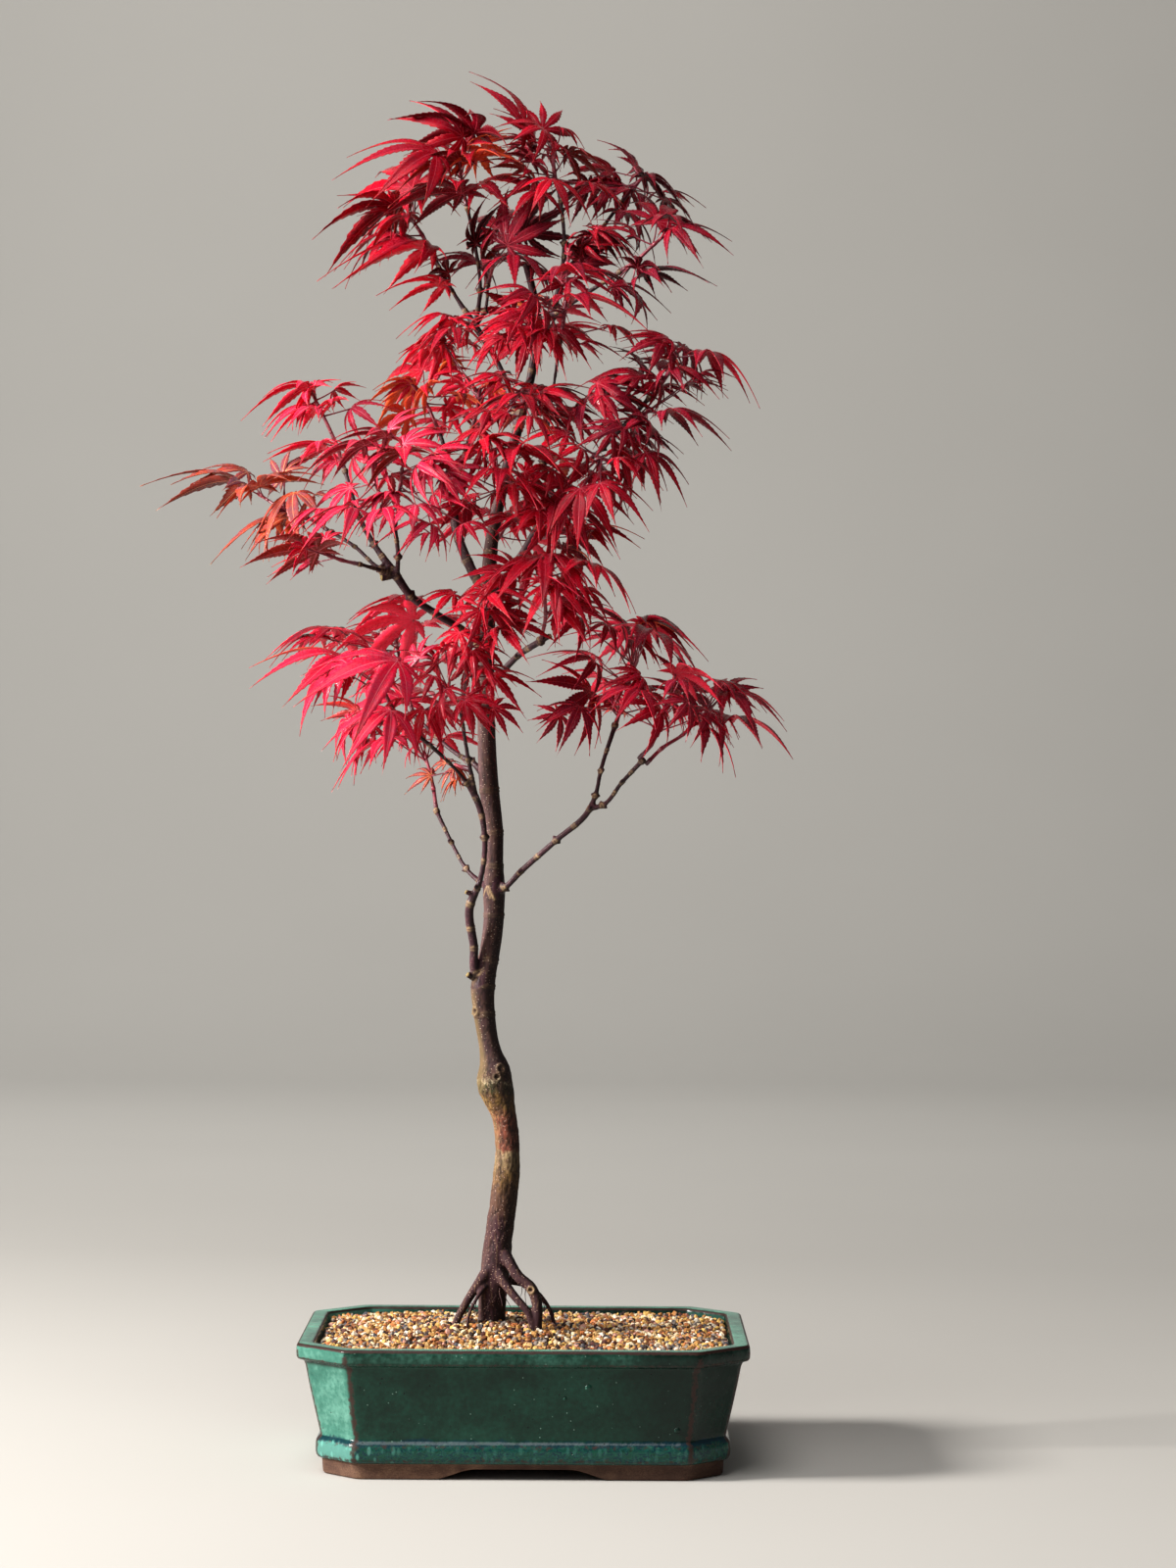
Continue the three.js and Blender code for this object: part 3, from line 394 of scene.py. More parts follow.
# painted light: the pooled glaze lighter on the lit left side
crystals = blend(paintedLitSide * 0.55, crystals, "6aa89c")
body = blend(pooled * 0.85, body, crystals)
body = blend(border * 0.65, body, "0a2a3a")
wearInputs = {"Where": where, "Edge": carried("edge"), "Amount": 0.62, "Scale": 0.35}
worn = signal("Group", "Mask", wearInputs, node_tree=edgeWear)
body = blend(worn * 0.9, body, "38241f")
# the lip's rounded edge shows the dark clay through the thin glaze
upward = split(coordinates("Normal"))[2]
lip = span(upward, 0.2, 0.45) * span(upward, 0.97, 0.85) * span(height, 70.0, 71.2)
body = blend(lip * span(fleck, 0.25, 0.5, 0.45, 0.95), body, "2c1511")
pits = span(cells(where, 0.16), 0.09, 0.04)
body = blend(pits, body, "0a1413")
relief = speckle(where, 0.12, 3.0, 0.5) * 2.2 + fleck * 0.16 - (pits * 0.6 + cracks * onRim * 0.12)
finishMaterial(body, worn * 0.4 + fleck * 0.16 + 0.1, relief, 0.0004, 0.8)

clay = newMaterial("footClay", Specular_IOR_Level=0.3)
where = place()
across = split(where)[0]
grain = cloud(where, 0.09, 1.6, 0.5)
colour = ramp(grain, "0.3 3a2620  0.5 5e4234  0.66 7c5c46  0.8 a08464")
colour = blend(span(cells(where, 0.9), 0.2, 0.1) * 0.6, colour, "3b2a22")
# painted light makes the bare clay lighter buff on the left, and painted shade makes it dark on the right
colour = blend(span(across, -72.0, -104.0, 0.0, 0.85) * span(grain, 0.3, 0.55), colour, "c4ac84")
colour = blend(span(across, -40.0, 60.0, 0.0, 0.55), colour, "20120d")
finishMaterial(colour, span(grain, 0.3, 0.8, 0.92, 0.72), grain, 0.0003, 0.7)


def octagon(inset):
    # the pot's outline set in from its rim: half its sides and the cut of its corners
    cut = potShape["corner"] - inset * (2 - math.sqrt(2))
    return potShape["length"] / 2 - inset, potShape["depth"] / 2 - inset, cut


def rimOutline(inset):
    # places round the octagon, and how near each is to an upright edge
    halfX, halfY, cut = octagon(inset)
    right = [Vector((halfX, cut - halfY)), Vector((halfX, halfY - cut)), Vector((halfX - cut, halfY))]
    right.append(Vector((cut - halfX, halfY)))
    corners = right + [-corner for corner in right]
    reach, step = potShape["arrisRound"], potShape["sideStep"]
    places = []
    for i, corner in enumerate(corners):
        side = corners[(i + 1) % len(corners)] - corner
        length = side.length
        places.append((corner - corner.normalized() * potShape["arrisPull"] * reach, 1.0))
        for away in (reach, step, length / 4, length / 2, length * 0.75, length - step, length - reach):
            beside = away in (reach, length - reach)
            places.append((corner + side / length * away, potShape["arrisEdge"] if beside else 0))
    return places


def makePot():
    high, foot = potShape["height"], potShape["foot"]
    under, floor = potShape["floorUnder"], potShape["floorTop"]
    # (inset, height, edge): a section through the wall from under the floor to the floor's top
    section = [
        (None, under, 0), (24, under, 0), (23.6, under - 0.4, 0), (23.2, 1.2, 0), (22.4, 0.3, 0), (21.6, 0, 0),
        (16.4, 0, 0), (15.2, 0.3, 0.4), (14.6, 1.0, 0.5), (14.35, 4, 0), (14.1, foot - 1.1, 0),
        (13.8, foot - 0.6, 0), (13.1, foot - 0.2, 0), (12.4, foot, 0.1), (11.6, foot + 0.5, 0.3),
        (10.85, foot + 1.6, 0.5), (10.45, foot + 3.2, 0.35), (10.4, foot + 6, 0.1), (10.45, foot + 8.4, 0.35),
        (10.85, foot + 10, 0.45), (11.7, foot + 11.3, 0.15), (12.6, foot + 12.2, 0), (12.9, foot + 13.2, 0),
        (11.2, foot + 21, 0), (9.0, foot + 31, 0), (6.8, foot + 41.5, 0), (5.0, high - 12.4, 0),
        (4.3, high - 10.6, 0), (3.9, high - 9.9, 0), (3.2, high - 9.45, 0), (2.0, high - 9.1, 0.1),
        (1.0, high - 8.7, 0.4), (0.35, high - 7.9, 0.55), (0.05, high - 6.8, 0.25), (0, high - 4.5, 0),
        (0, high - 2.4, 0.1), (0.12, high - 1.5, 0.6), (0.45, high - 0.75, 1), (1.0, high - 0.25, 0.9),
        (1.7, high, 0.3), (2.6, high, 0.1), (7.4, high, 0), (8.3, high - 0.1, 0.3), (8.95, high - 0.45, 0.7),
        (9.4, high - 1.1, 0.6), (9.6, high - 2.2, 0), (14, high - 24, 0), (19.5, floor + 5, 0),
        (20.6, floor + 2, 0), (24, floor, 0), (None, floor, 0),
    ]
    outlines = [rimOutline(potShape["floorInset"] if inset is None else inset) for inset, z, near in section]
    around, rows = len(outlines[0]), len(section) - 1
    first, last = potShape["outerRows"]
    bm = bmesh.new()
    edgeLayer = bm.verts.layers.float.new("edge")
    bmesh.ops.create_grid(bm, x_segments=around, y_segments=rows, size=1)
    for vert in bm.verts:
        i = round((vert.co.x + 1) / 2 * around) % around
        j = round((vert.co.y + 1) / 2 * rows)
        inset, z, near = section[j]
        spot, arris = outlines[j][i]
        spot = Vector((0, 0, z)) if inset is None else Vector((spot.x, spot.y, z))
        outside = first <= j <= last
        if z > foot:
            vert[edgeLayer] = max(near, arris * (potShape["arrisWear"] if outside else near))
        vert.co = spot
        if outside:
            sway = potShape["sway"] * noise.noise(spot * potShape["swayScale"])
            vert.co += Vector((spot.x, spot.y, 0)).normalized() * sway
    bmesh.ops.remove_doubles(bm, verts=bm.verts, dist=potShape["merge"])
    bmesh.ops.recalc_face_normals(bm, faces=bm.faces)
    for face in bm.faces:
        middle = face.calc_center_median()
        # glaze covers all outside the foot and the inner wall's upper part
        x, y = abs(middle.x), abs(middle.y)
        reach = max(x / potShape["glazedX"], y / potShape["glazedY"], (x + y) / potShape["glazedSlant"])
        glazed = reach > potShape["glazedFrom"] and middle.z > foot + potShape["bareLedge"]
        face.material_index = 0 if glazed and face.normal.z > potShape["facingDown"] else 1
    return bm


def archCutter(width, through, turned):
    # the low arch under one side of the foot, with double-curved ends
    bm = bmesh.new()
    half, flat, high, steps = width / 2, width / 4, potShape["archHeight"], potShape["archSteps"]
    outline = [(-half, -1), (half, -1)]
    for k in range(steps + 1):
        t = k / steps
        outline.append((half - t * (half - flat), high * (t * t * (3 - 2 * t))))
    outline += [(-x, z) for x, z in reversed(outline[2:])]
    verts = [bm.verts.new((x, -through / 2, z)) for x, z in outline]
    made = bmesh.ops.contextual_create(bm, geom=verts)["faces"]
    out = bmesh.ops.extrude_face_region(bm, geom=made)["geom"]
    bmesh.ops.translate(bm, vec=(0, through, 0), verts=only(BMVert, out))
    if turned:
        bmesh.ops.rotate(bm, matrix=Matrix.Rotation(math.pi / 2, 3, "Z"), verts=bm.verts)
    bmesh.ops.recalc_face_normals(bm, faces=bm.faces)
    return bm


def boreCutter(x):
    bm = bmesh.new()
    radius, depth = potShape["drainHole"] / 2, potShape["boreDepth"]
    made = bmesh.ops.create_cone(
        bm, cap_ends=True, segments=potShape["boreSides"], radius1=radius, radius2=radius, depth=depth)["verts"]
    bmesh.ops.translate(bm, vec=(x, 0, (potShape["floorUnder"] + potShape["floorTop"]) / 2), verts=made)
    return bm


def glazeDrop(x, y, z, size):
    bm = withLayers("float", "edge")
    around, rows = potShape["dropSteps"]
    bmesh.ops.create_uvsphere(bm, u_segments=around, v_segments=rows, radius=size)
    bmesh.ops.scale(bm, vec=(1, potShape["dropFlat"], 1), verts=bm.verts)
    bmesh.ops.translate(bm, vec=(x, y, z), verts=bm.verts)
    return meshOf(bm)


potBody = pieceOf("glazedPot", meshOf(makePot()), [glaze, clay])
cutters = [archCutter(*arch) for arch in potShape["arches"]]
cutters += [boreCutter(side * potShape["drainAt"]) for side in (-1, 1)]
cutters = [pieceOf("cutter", meshOf(bm), [clay]) for bm in cutters]
for cutter in cutters:
    cut = potBody.modifiers.new("cut", "BOOLEAN")
    cut.object = cutter
    cut.operation = "DIFFERENCE"
    cut.solver = "EXACT"
    cut.material_mode = "TRANSFER"
settle(potBody)
for cutter in cutters:
    bpy.data.objects.remove(cutter)
bm = bmesh.new()
bm.from_mesh(potBody.data)
bmesh.ops.remove_doubles(bm, verts=bm.verts, dist=potShape["merge"])
joinInto(bm, [glazeDrop(*drop) for drop in potShape["drops"]])
for face in bm.faces:
    face.smooth = True
for edge in bm.edges:
    edge.smooth = len(edge.link_faces) == 2 and edge.calc_face_angle(0) < math.radians(potShape["sharpAngle"])
inFrame(bm)
bm.to_mesh(potBody.data)
bm.free()
standFor(potBody, "glaze", "pot")
print("pot made")

gravelShape = {
    "level": 69, "mound": 7.5, "moundReach": 46, "moundX": -19,     # the surface, as in the solid it stands for
    "grainPitch": 2.9, "smallest": 1.15, "usual": 1.5, "largest": 2.6,      # spacing and half sizes of the grains
    "kinds": 14, "chipped": (-0.28, 0.2), "long": (0.9, 1.35), "wide": (0.75, 1.1), "thick": (0.6, 0.9),
    "rows": 33, "columns": 43, "jitter": 0.42, "lifted": (-0.9, 0.75),
    "sink": 0.35, "sinkFrom": 1.4,      # larger stones lie deeper
    "wallClear": 10.2, "trunkClear": 6.2,
    "wallInset": 10.6, "bed": 60.35, "bedSink": 1.6, "bedWobble": 0.8, "wobbleScale": 0.3, "bedSteps": (58, 44),
    "seed": 11,
}

gravelStone = newMaterial("gravelStone", Specular_IOR_Level=0.35)
where = place()
stone = ramp(carried("grain"), (
    "0.0 2c1e1a  0.10 5a302a  0.16 8c5630  0.25 c89450  0.37 e0b878  0.48 f2dcb4  0.59 b87c3e  "
    "0.66 8a8078  0.72 fbf0da  0.80 cc7a40  0.85 ecc068  0.91 464a52  0.96 d09a88"
), "CONSTANT")
veining = cloud(where, 0.5, 2.6, 0.55)
stone = blend(0.15, stone, "4a281c")
stone = blend(span(veining, 0.42, 0.62, 0.0, 0.35), stone, "8a6240", "MULTIPLY")
stone = blend(span(veining, 0.55, 0.75, 0.0, 0.35), stone, "d8c8ae")
finishMaterial(stone, span(veining, 0.3, 0.7, 0.9, 0.62), veining, 0.00025, 0.8)

packedGrit = newMaterial("packedGrit", Specular_IOR_Level=0.3)
dust = cloud(place(), 0.35, 1.8, 0.5)
finishMaterial(ramp(dust, "0.3 1a110c  0.55 3a281a  0.75 60452c"), 0.92, dust, 0.0006, 1.0)


def gravelHeight(x, y):
    away = math.hypot(x - gravelShape["moundX"], y) / gravelShape["moundReach"]
    return gravelShape["level"] + gravelShape["mound"] * math.exp(-away * away)


def clearOfWall(x, y, inset):
    halfX, halfY, cut = octagon(inset)
    return abs(x) < halfX and abs(y) < halfY and abs(x) + abs(y) < halfX + halfY - cut


def makeGravelBed():
    # a close-fitting block under the loose grains, its top following their surface
    bm = bmesh.new()
    halfX, halfY, cut = octagon(gravelShape["wallInset"])
    columns, rows = gravelShape["bedSteps"]
    bmesh.ops.create_grid(bm, x_segments=columns, y_segments=rows, size=1)
    bmesh.ops.scale(bm, vec=(halfX, halfY, 1), verts=bm.verts)
    for sx, sy in ((1, 1), (1, -1), (-1, 1), (-1, -1)):
        bmesh.ops.bisect_plane(
            bm, geom=bm.verts[:] + bm.edges[:] + bm.faces[:], plane_co=(sx * (halfX - cut), sy * halfY, 0),
            plane_no=(sx, sy, 0), clear_outer=True,
        )
    raised = only(BMVert, bmesh.ops.extrude_face_region(bm, geom=bm.faces[:])["geom"])
    for vert in bm.verts:
        vert.co.z = gravelShape["bed"]
    for vert in raised:
        x, y = vert.co.x, vert.co.y
        wobble = gravelShape["bedWobble"] * noise.noise(Vector((x, y, 3)) * gravelShape["wobbleScale"])
        vert.co.z = gravelHeight(x, y) - gravelShape["bedSink"] + wobble
    bmesh.ops.recalc_face_normals(bm, faces=bm.faces)
    return meshOf(bm)


def makeGrain(draw):
    # one chipped stone: a twenty-sided ball pulled out of round
    bm = bmesh.new()
    bmesh.ops.create_icosphere(bm, subdivisions=1, radius=1)
    for vert in bm.verts:
        vert.co *= 1 + draw.uniform(*gravelShape["chipped"])
    size = [draw.uniform(*gravelShape[side]) for side in ("long", "wide", "thick")]
    bmesh.ops.scale(bm, vec=size, verts=bm.verts)
    return meshOf(bm)


def makeGrains():
    draw = random.Random(gravelShape["seed"])
    kinds = [makeGrain(draw) for _ in range(gravelShape["kinds"])]
    pitch, jitter = gravelShape["grainPitch"], gravelShape["jitter"]
    batches = []
    for row in range(-gravelShape["rows"], gravelShape["rows"] + 1):
        bm = bmesh.new()
        layer = bm.verts.layers.float.new("grain")
        done = 0
        for column in range(-gravelShape["columns"], gravelShape["columns"] + 1):
            x = (column + 0.5 * (row % 2) + draw.uniform(-jitter, jitter)) * pitch
            y = (row + draw.uniform(-jitter, jitter)) * pitch
            size = draw.triangular(gravelShape["smallest"], gravelShape["largest"], gravelShape["usual"])
            turn = Quaternion([draw.gauss(0, 1) for _ in range(4)]).normalized()
            tone, lift, kind = draw.random(), draw.uniform(*gravelShape["lifted"]), draw.choice(kinds)
            fromTrunk = math.hypot(x - gravelShape["moundX"], y)
            if not clearOfWall(x, y, gravelShape["wallClear"] + size * 0.9) or fromTrunk < gravelShape["trunkClear"]:
                continue
            z = gravelHeight(x, y) + lift - gravelShape["sink"] * (size - gravelShape["sinkFrom"])
            bm.from_mesh(kind)
            bm.verts.ensure_lookup_table()
            for vert in bm.verts[done:]:
                vert.co = turn @ (vert.co * size) + Vector((x, y, z))
                vert[layer] = tone
            done = len(bm.verts)
        batches.append(meshOf(bm))
    for kind in kinds:
        bpy.data.meshes.remove(kind)
    return batches


bm = withLayers("float", "grain")
joinInto(bm, [makeGravelBed()], 1)
joinInto(bm, makeGrains())
inFrame(bm)
for face in bm.faces:
    face.smooth = face.material_index == 1
gravel = pieceOf("gravelTop", meshOf(bm), [gravelStone, packedGrit])
standFor(gravel, "grit", "grit")
print("gravel made:", len(gravel.data.polygons), "faces")

# what is hidden in the pot keeps its solid and gets its own finish
compost = newMaterial("barkCompost", Specular_IOR_Level=0.25)
where = place()
soilColour = ramp(cloud(where, 0.2, 1.4, 0.5), "0.3 1d130e  0.5 3b281c  0.68 5f4530  0.85 8c7a66")
finishMaterial(soilColour, 0.95, cells(where, 0.35), 0.0012, 1.0)

meshPlastic = newMaterial("drainMeshPlastic", Specular_IOR_Level=0.45)
scuff = cloud(place(), 0.2, 2.5, 0.5)
plasticColour = blend(span(scuff, 0.4, 0.7), "191c20", "34383c")
finishMaterial(plasticColour, span(scuff, 0.3, 0.7, 0.45, 0.7), scuff, 0.0001, 0.5)
for name, finish in (("soil", compost), ("drainage_mesh_left", meshPlastic), ("drainage_mesh_right", meshPlastic)):
    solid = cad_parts[name]
    for slot in solid.material_slots:
        slot.material = finish
    if not solid.material_slots:
        solid.data.materials.append(finish)
print("soil and drainage mesh finished")

woodShape = {
    "voxel": 0.00082,                   # metres; finer than the thinnest twig needs to stay round
    "trunkSpacing": 2.0, "limbSpacing": 1.6, "knotSpacing": 0.8,
    "thick": 6, "thickSides": 20, "thinSides": 12,
    "knuckle": ((-2.4, 0.9), (0, 1.5), (2.2, 0.9)),     # a twig's end: place along it and share of its girth
    "buddedBelow": 2.5,                 # only twigs thinner than this have pairs of buds
    # a bud: its places out from the twig, by shares of its girth and millimetres, and along it, with their radius
    "bud": ((0.4, 0, 0, 1.0), (1, 0.4, 0.5, 1.0), (1, 1.3, 1.7, 0.55)),
    "barkDepth": 0.42, "skinDepth": 0.12,       # the broken old bark below the graft, and the skin above it
    "graft": 214, "graftBorder": 14, "youngGirth": 2.2, "oldGirth": 5.7,
    # the bark's noises: long plates and their finer share, lumps by scale and share, and the grain
    "plateScale": (0.42, 0.42, 0.14), "plateDetail": (2.3, 0.5), "crackSharp": 4.5,
    "lumps": ((0.11, 0.5), (0.32, 0.3)), "grainScale": (1.4, 1.4, 0.5),
    # how much of them shows: lumps, cracks, cracks on the rough stock, grain, and the stock's own unevenness
    "relief": (0.55, 0.35, 0.5, 0.3, 0.55), "firstSmooth": 0.5, "nearest": 4,
    # bud-scale rings round the branches: two bands each, by place, width and strength
    "ringHeight": 0.5, "ringReach": 9, "ringsAbove": 240, "ringBands": ((0.9, 0.55, 1), (-0.8, 0.5, 0.8)),
    "ringWave": (0.4, 0.5), "ringByAge": (0.55, 0.45),
    "longStep": 17, "extraRing": (0.42, 0.6),   # a longer step between two points gets one more ring
    "scarDepth": 1.1, "scarReach": 3.2, "scarLip": (1.15, 0.35), "scarHollow": 0.75, "scarRing": 1.6,
    "seed": 21,
    # hair roots: how many hang from a place, how long they are, and their radius at the top and its loss a step
    "hairs": 2, "hairLength": (7, 15), "hairSteps": 5, "hairRadius": 0.34, "hairTaper": 0.05, "hairSeed": 5,
    "hairLean": ((-0.6, 0.6), (-0.7, 0.1)), "hairShift": 1.5, "hairSway": 0.9, "hairSpacing": 1.8, "hairSides": 5,
    "cutReach": 0.95,                   # how much of a stub's end is cut wood, by its radius
}
# healed pruning scars: place and size
knotScars = [
    (-13.8, -13.2, 220.5, 2.4), (-16.4, -13.9, 215.6, 1.7), (-28.5, -4, 252, 2.0), (-20, -5.5, 352, 1.9),
    (-6.5, -4, 320, 1.7), (3.4, -16.8, 96, 1.5),
]
# where fine hair roots hang from the root crown
hairStarts = [
    (-13.5, -9, 96), (-15, -8.5, 92), (-24, -8, 98), (-8, -8, 104), (-28, -9, 93), (-2, -11, 99), (5, -14, 91),
    (-20, -8, 88), (-33, -9.5, 86), (10, 9, 88), (-22, 17, 82), (-30, -13, 88),
]
# every limb's points: x, y, z and radius
trunkLimb = [
    (-19, 0, 54, 7.4), (-19, 0, 80, 7.8), (-17, 0, 107, 8.3), (-14, -1, 134, 7.8), (-11, -3, 160, 7.6),
    (-11, -4, 183, 6.8), (-13, -4, 195, 7.2), (-16, -4, 205, 9.4), (-18, -4, 212, 10.3), (-18, -4, 218, 9.4),
    (-20, -3, 227, 6.7), (-24, -1, 250, 6.1), (-25, 0, 266, 6.9), (-22, 1, 281, 5.8), (-19, 2, 306, 5.8),
    (-19, 2, 320, 6.4), (-19, 2, 334, 5.3), (-19, 3, 353, 5.1), (-22, 4, 377, 5.6), (-24, 3, 420, 5),
    (-24, 1, 460, 4.7), (-23, 0, 492, 4.6), (-22, -1, 512, 4), (-15, -2, 551, 3.3), (-7, 0, 582, 2.9),
    (1, 2, 615, 2.5), (4, 2, 642, 2.8), (2, 1, 657, 2.3), (-3, -1, 677, 2.1),
]
rootLimbs = {
    "left": [
        (-19, -3, 108, 4.5), (-25, -6, 100, 3.2), (-33, -9, 88, 2.4), (-39, -10, 76, 2.3), (-40, -10, 56, 2.2),
    ],
    "leftThin": [(-21, -5, 99, 2), (-27, -13, 91, 1.2), (-31, -17, 83, 1), (-31, -18, 57, 1)],
    "rightFront": [
        (-14, -3, 117, 4.5), (-10, -7, 112, 3.6), (-4, -11, 103, 3.2), (4, -14, 96, 3.3), (7, -16, 87, 3.1),
        (7, -17, 76, 3), (7, -17, 56, 2.8),
    ],
    "middle": [(-16, -5, 106, 3.6), (-11, -10, 98, 2.8), (-5, -14, 91, 2.4), (2, -17, 83, 2.2), (5, -18, 74, 2.2)],
    "rightBack": [(-12, 1, 100, 3), (0, 5, 96, 1.8), (8, 8, 90, 1.4), (14, 10, 81, 1.3), (17, 11, 57, 1.3)],
    "back": [(-18, 4, 104, 4), (-20, 11, 92, 3), (-22, 18, 80, 2.6), (-23, 20, 57, 2.4)],
}
branchLimbs = {
    "secondStem": [
        (-24, 0, 269, 3.3), (-29, -3, 274, 2.8), (-30, -5, 288, 2.5), (-32, -10, 313, 2.6), (-28, -12, 322, 1.9),
        (-24, -16, 350, 1.7), (-29, -20, 373, 2.1), (-34, -24, 381, 1.4), (-54, -42, 402, 1.3),
        (-68, -50, 413, 1.2),
    ],
    "secondStemRight": [(-29, -20, 373, 1.7), (-33, -28, 394, 1.3), (-38, -40, 427, 1.2)],
    "lowLeft": [(-23, 4, 383, 2.8), (-32, 12, 393, 1.7), (-38, 18, 396, 1.5), (-67, 50, 420, 1.2)],
    "lowestLeft": [(-19, 0, 319, 2.2), (-35, 14, 332, 1.3), (-44, 24, 347, 1.2), (-53, 32, 365, 1.4)],
    "lowRight": [
        (-19, 0, 319, 2.8), (-13, -3, 322, 1.9), (-4, -8, 331, 1.8), (16, -20, 349, 1.7), (35, -28, 367, 1.8),
        (38, -28, 374, 1.4), (41, -26, 388, 1.3), (49, -18, 414, 1.5),
    ],
    "lowRightOut": [(35, -28, 367, 1.6), (42, -30, 369, 1.4), (53, -36, 382, 1.3), (64, -42, 394, 1.5)],
    "middleRight": [(-22, 2, 437, 2.8), (-16, -3, 443, 2.2), (-6, -12, 453, 1.9), (7, -26, 461, 2)],
    "left": [
        (-24, 1, 454, 3.1), (-29, -3, 461, 2.5), (-53, -14, 477, 2.2), (-66, -18, 486, 2.3), (-74, -22, 497, 2.6),
        (-87, -16, 515, 1.7), (-96, -6, 531, 1.6), (-105, 6, 558, 1.3),
    ],
    "leftLowTwig": [(-74, -22, 497, 1.9), (-79, -24, 499, 1.6), (-94, -34, 503, 1.1)],
    "leftFarTwig": [(-74, -22, 497, 1.9), (-83, -23, 501, 1.4), (-98, -14, 514, 1.2), (-112, -1, 523, 1.2)],
    "leftNearTwig": [(-74, -22, 497, 1.8), (-73, -28, 507, 1.4), (-75, -36, 526, 1.5)],
    "upperLeft": [
        (-23, 0, 490, 3.6), (-29, 5, 496, 3.1), (-35, 12, 507, 2.9), (-44, 30, 540, 2.5), (-42, 36, 556, 1.7),
        (-34, 43, 586, 1.3),
    ],
    "upperLeftFar": [(-44, 30, 540, 2), (-49, 40, 572, 1.4), (-53, 44, 584, 1.3)],
    "upperRight": [
        (-23, 0, 489, 3.3), (-15, -3, 495, 2.8), (-6, -8, 507, 2.6), (14, -24, 540, 2.2), (22, -29, 551, 1.6),
        (41, -40, 568, 1.4), (67, -54, 595, 1.4),
    ],
    "upperRightUp": [(14, -24, 540, 1.9), (8, -20, 562, 1.8), (10, -24, 577, 1.2), (17, -38, 627, 1.1)],
    "crownLeft": [
        (-7, 0, 583, 2.5), (-11, 7, 601, 2.1), (-22, 16, 627, 1.8), (-32, 22, 643, 2.1), (-45, 26, 663, 1.2),
        (-58, 28, 687, 1.2),
    ],
    "crownLeftUp": [(-32, 22, 643, 1.7), (-29, 14, 662, 1.3), (-32, 6, 688, 1.2), (-36, -1, 707, 1.2)],
    "crownLeftBack": [(-32, 22, 643, 1.7), (-27, 25, 651, 1.2), (-25, 33, 668, 1.1)],
    "crownRight": [
        (4, 2, 641, 2.5), (11, -6, 645, 2.1), (14, -10, 653, 1.9), (18, -12, 668, 1.9), (19, -8, 686, 1.3),
        (17, -2, 711, 1.2),
    ],
    "crownRightNear": [(11, -6, 645, 1.7), (32, -28, 656, 1.4), (50, -42, 666, 1.2)],
    "crownRightBack": [(18, -12, 668, 1.7), (34, 8, 689, 1.3), (51, 29, 715, 1.2)],
}
stubLimbs = {
    "atFork": [(-25, 0, 268, 2.2), (-34, -6, 273, 1.6)],
    "atRing": [(-29, -11, 318, 1.7), (-35, -13, 320, 1.4)],
    "leftKnuckle": [(-75, -22, 498, 2), (-83, -24, 496, 2.2)],
    "leftCut": [(-96, -6, 531, 1.4), (-105, -14, 547, 1.2)],
    "rightCut": [(6, -26, 461, 1.9), (13, -29, 464, 1.6)],
}


def twigKnots(points):
    # a knuckle of bud scales where new shoots leave an old twig, and pairs of small buds along it
    places = [Vector(p[:3]) for p in points]
    way = (places[-1] - places[-2]).normalized()
    girth = points[-1][3]
    knots = [[(*(places[-1] + way * along), girth * size) for along, size in woodShape["knuckle"]]]
    for i in range(1, len(points) - 1):
        girth = points[i][3]
        way = (places[i + 1] - places[i - 1]).normalized()
        across = way.cross(Vector((0, 1, 0) if i % 2 else (0, 0, 1))).normalized()
        if girth < woodShape["buddedBelow"]:
            for side in (across, -across):
                knots.append([
                    (*(places[i] + side * (girth * share + out) + way * along), radius)
                    for share, out, along, radius in woodShape["bud"]
                ])
    return knots


def makeLimbs():
    # smooth paths for every limb, in one list
    paths = [smoothPath(trunkLimb, woodShape["trunkSpacing"])]
    for table in (rootLimbs, branchLimbs, stubLimbs):
        paths += [smoothPath(points, woodShape["limbSpacing"]) for points in table.values()]
    for points in branchLimbs.values():
        paths += [smoothPath(knot, woodShape["knotSpacing"]) for knot in twigKnots(points)]
    return paths


def fuseLimbs(paths):
    # overlapping tubes are remeshed into one skin, so that every fork flows
    bm = bmesh.new()
    for path in paths:
        thick = path[0][1] > woodShape["thick"]
        joinInto(bm, [tube(path, woodShape["thickSides" if thick else "thinSides"])])
    inFrame(bm)
    wood = pieceOf("mapleWood", meshOf(bm), [])
    skin = wood.modifiers.new("skin", "REMESH")
    skin.mode = "VOXEL"
    skin.voxel_size = woodShape["voxel"]
    skin.use_smooth_shade = True
    return settle(wood)


def treeOf(places):
    near = KDTree(len(places))
    for i, spot in enumerate(places):
        near.insert(spot, i)
    near.balance()
    return near


def barkField(paths):
    # samples along the limbs: place, way, girth, and the nearest ring if one is near
    ringed = [trunkLimb] + list(branchLimbs.values())
    rings = [Vector(p[:3]) for points in ringed for p in points[1:]]
    draw = random.Random(woodShape["seed"])
    for points in branchLimbs.values():
        for a, b in zip(points, points[1:]):
            spanned = Vector(b[:3]) - Vector(a[:3])
            if spanned.length > woodShape["longStep"]:
                rings.append(Vector(a[:3]) + spanned * draw.uniform(*woodShape["extraRing"]))
    nearRings = treeOf([ring for ring in rings if ring.z > woodShape["ringsAbove"]])
    samples = []
    for path in paths:
        for (spot, girth), way in zip(path, waysAlong([spot for spot, girth in path])):
            ring, index, far = nearRings.find(spot)
            samples.append((spot, way, girth, ring if far < woodShape["ringReach"] else None))
    return samples, treeOf([sample[0] for sample in samples])


def bell(x, width):
    return math.exp(-(x / width) ** 2)


def stretchedBy(p, scales):
    return Vector([v * scale for v, scale in zip(p, scales)])


def clamped(x):
    return min(max(x, 0), 1)


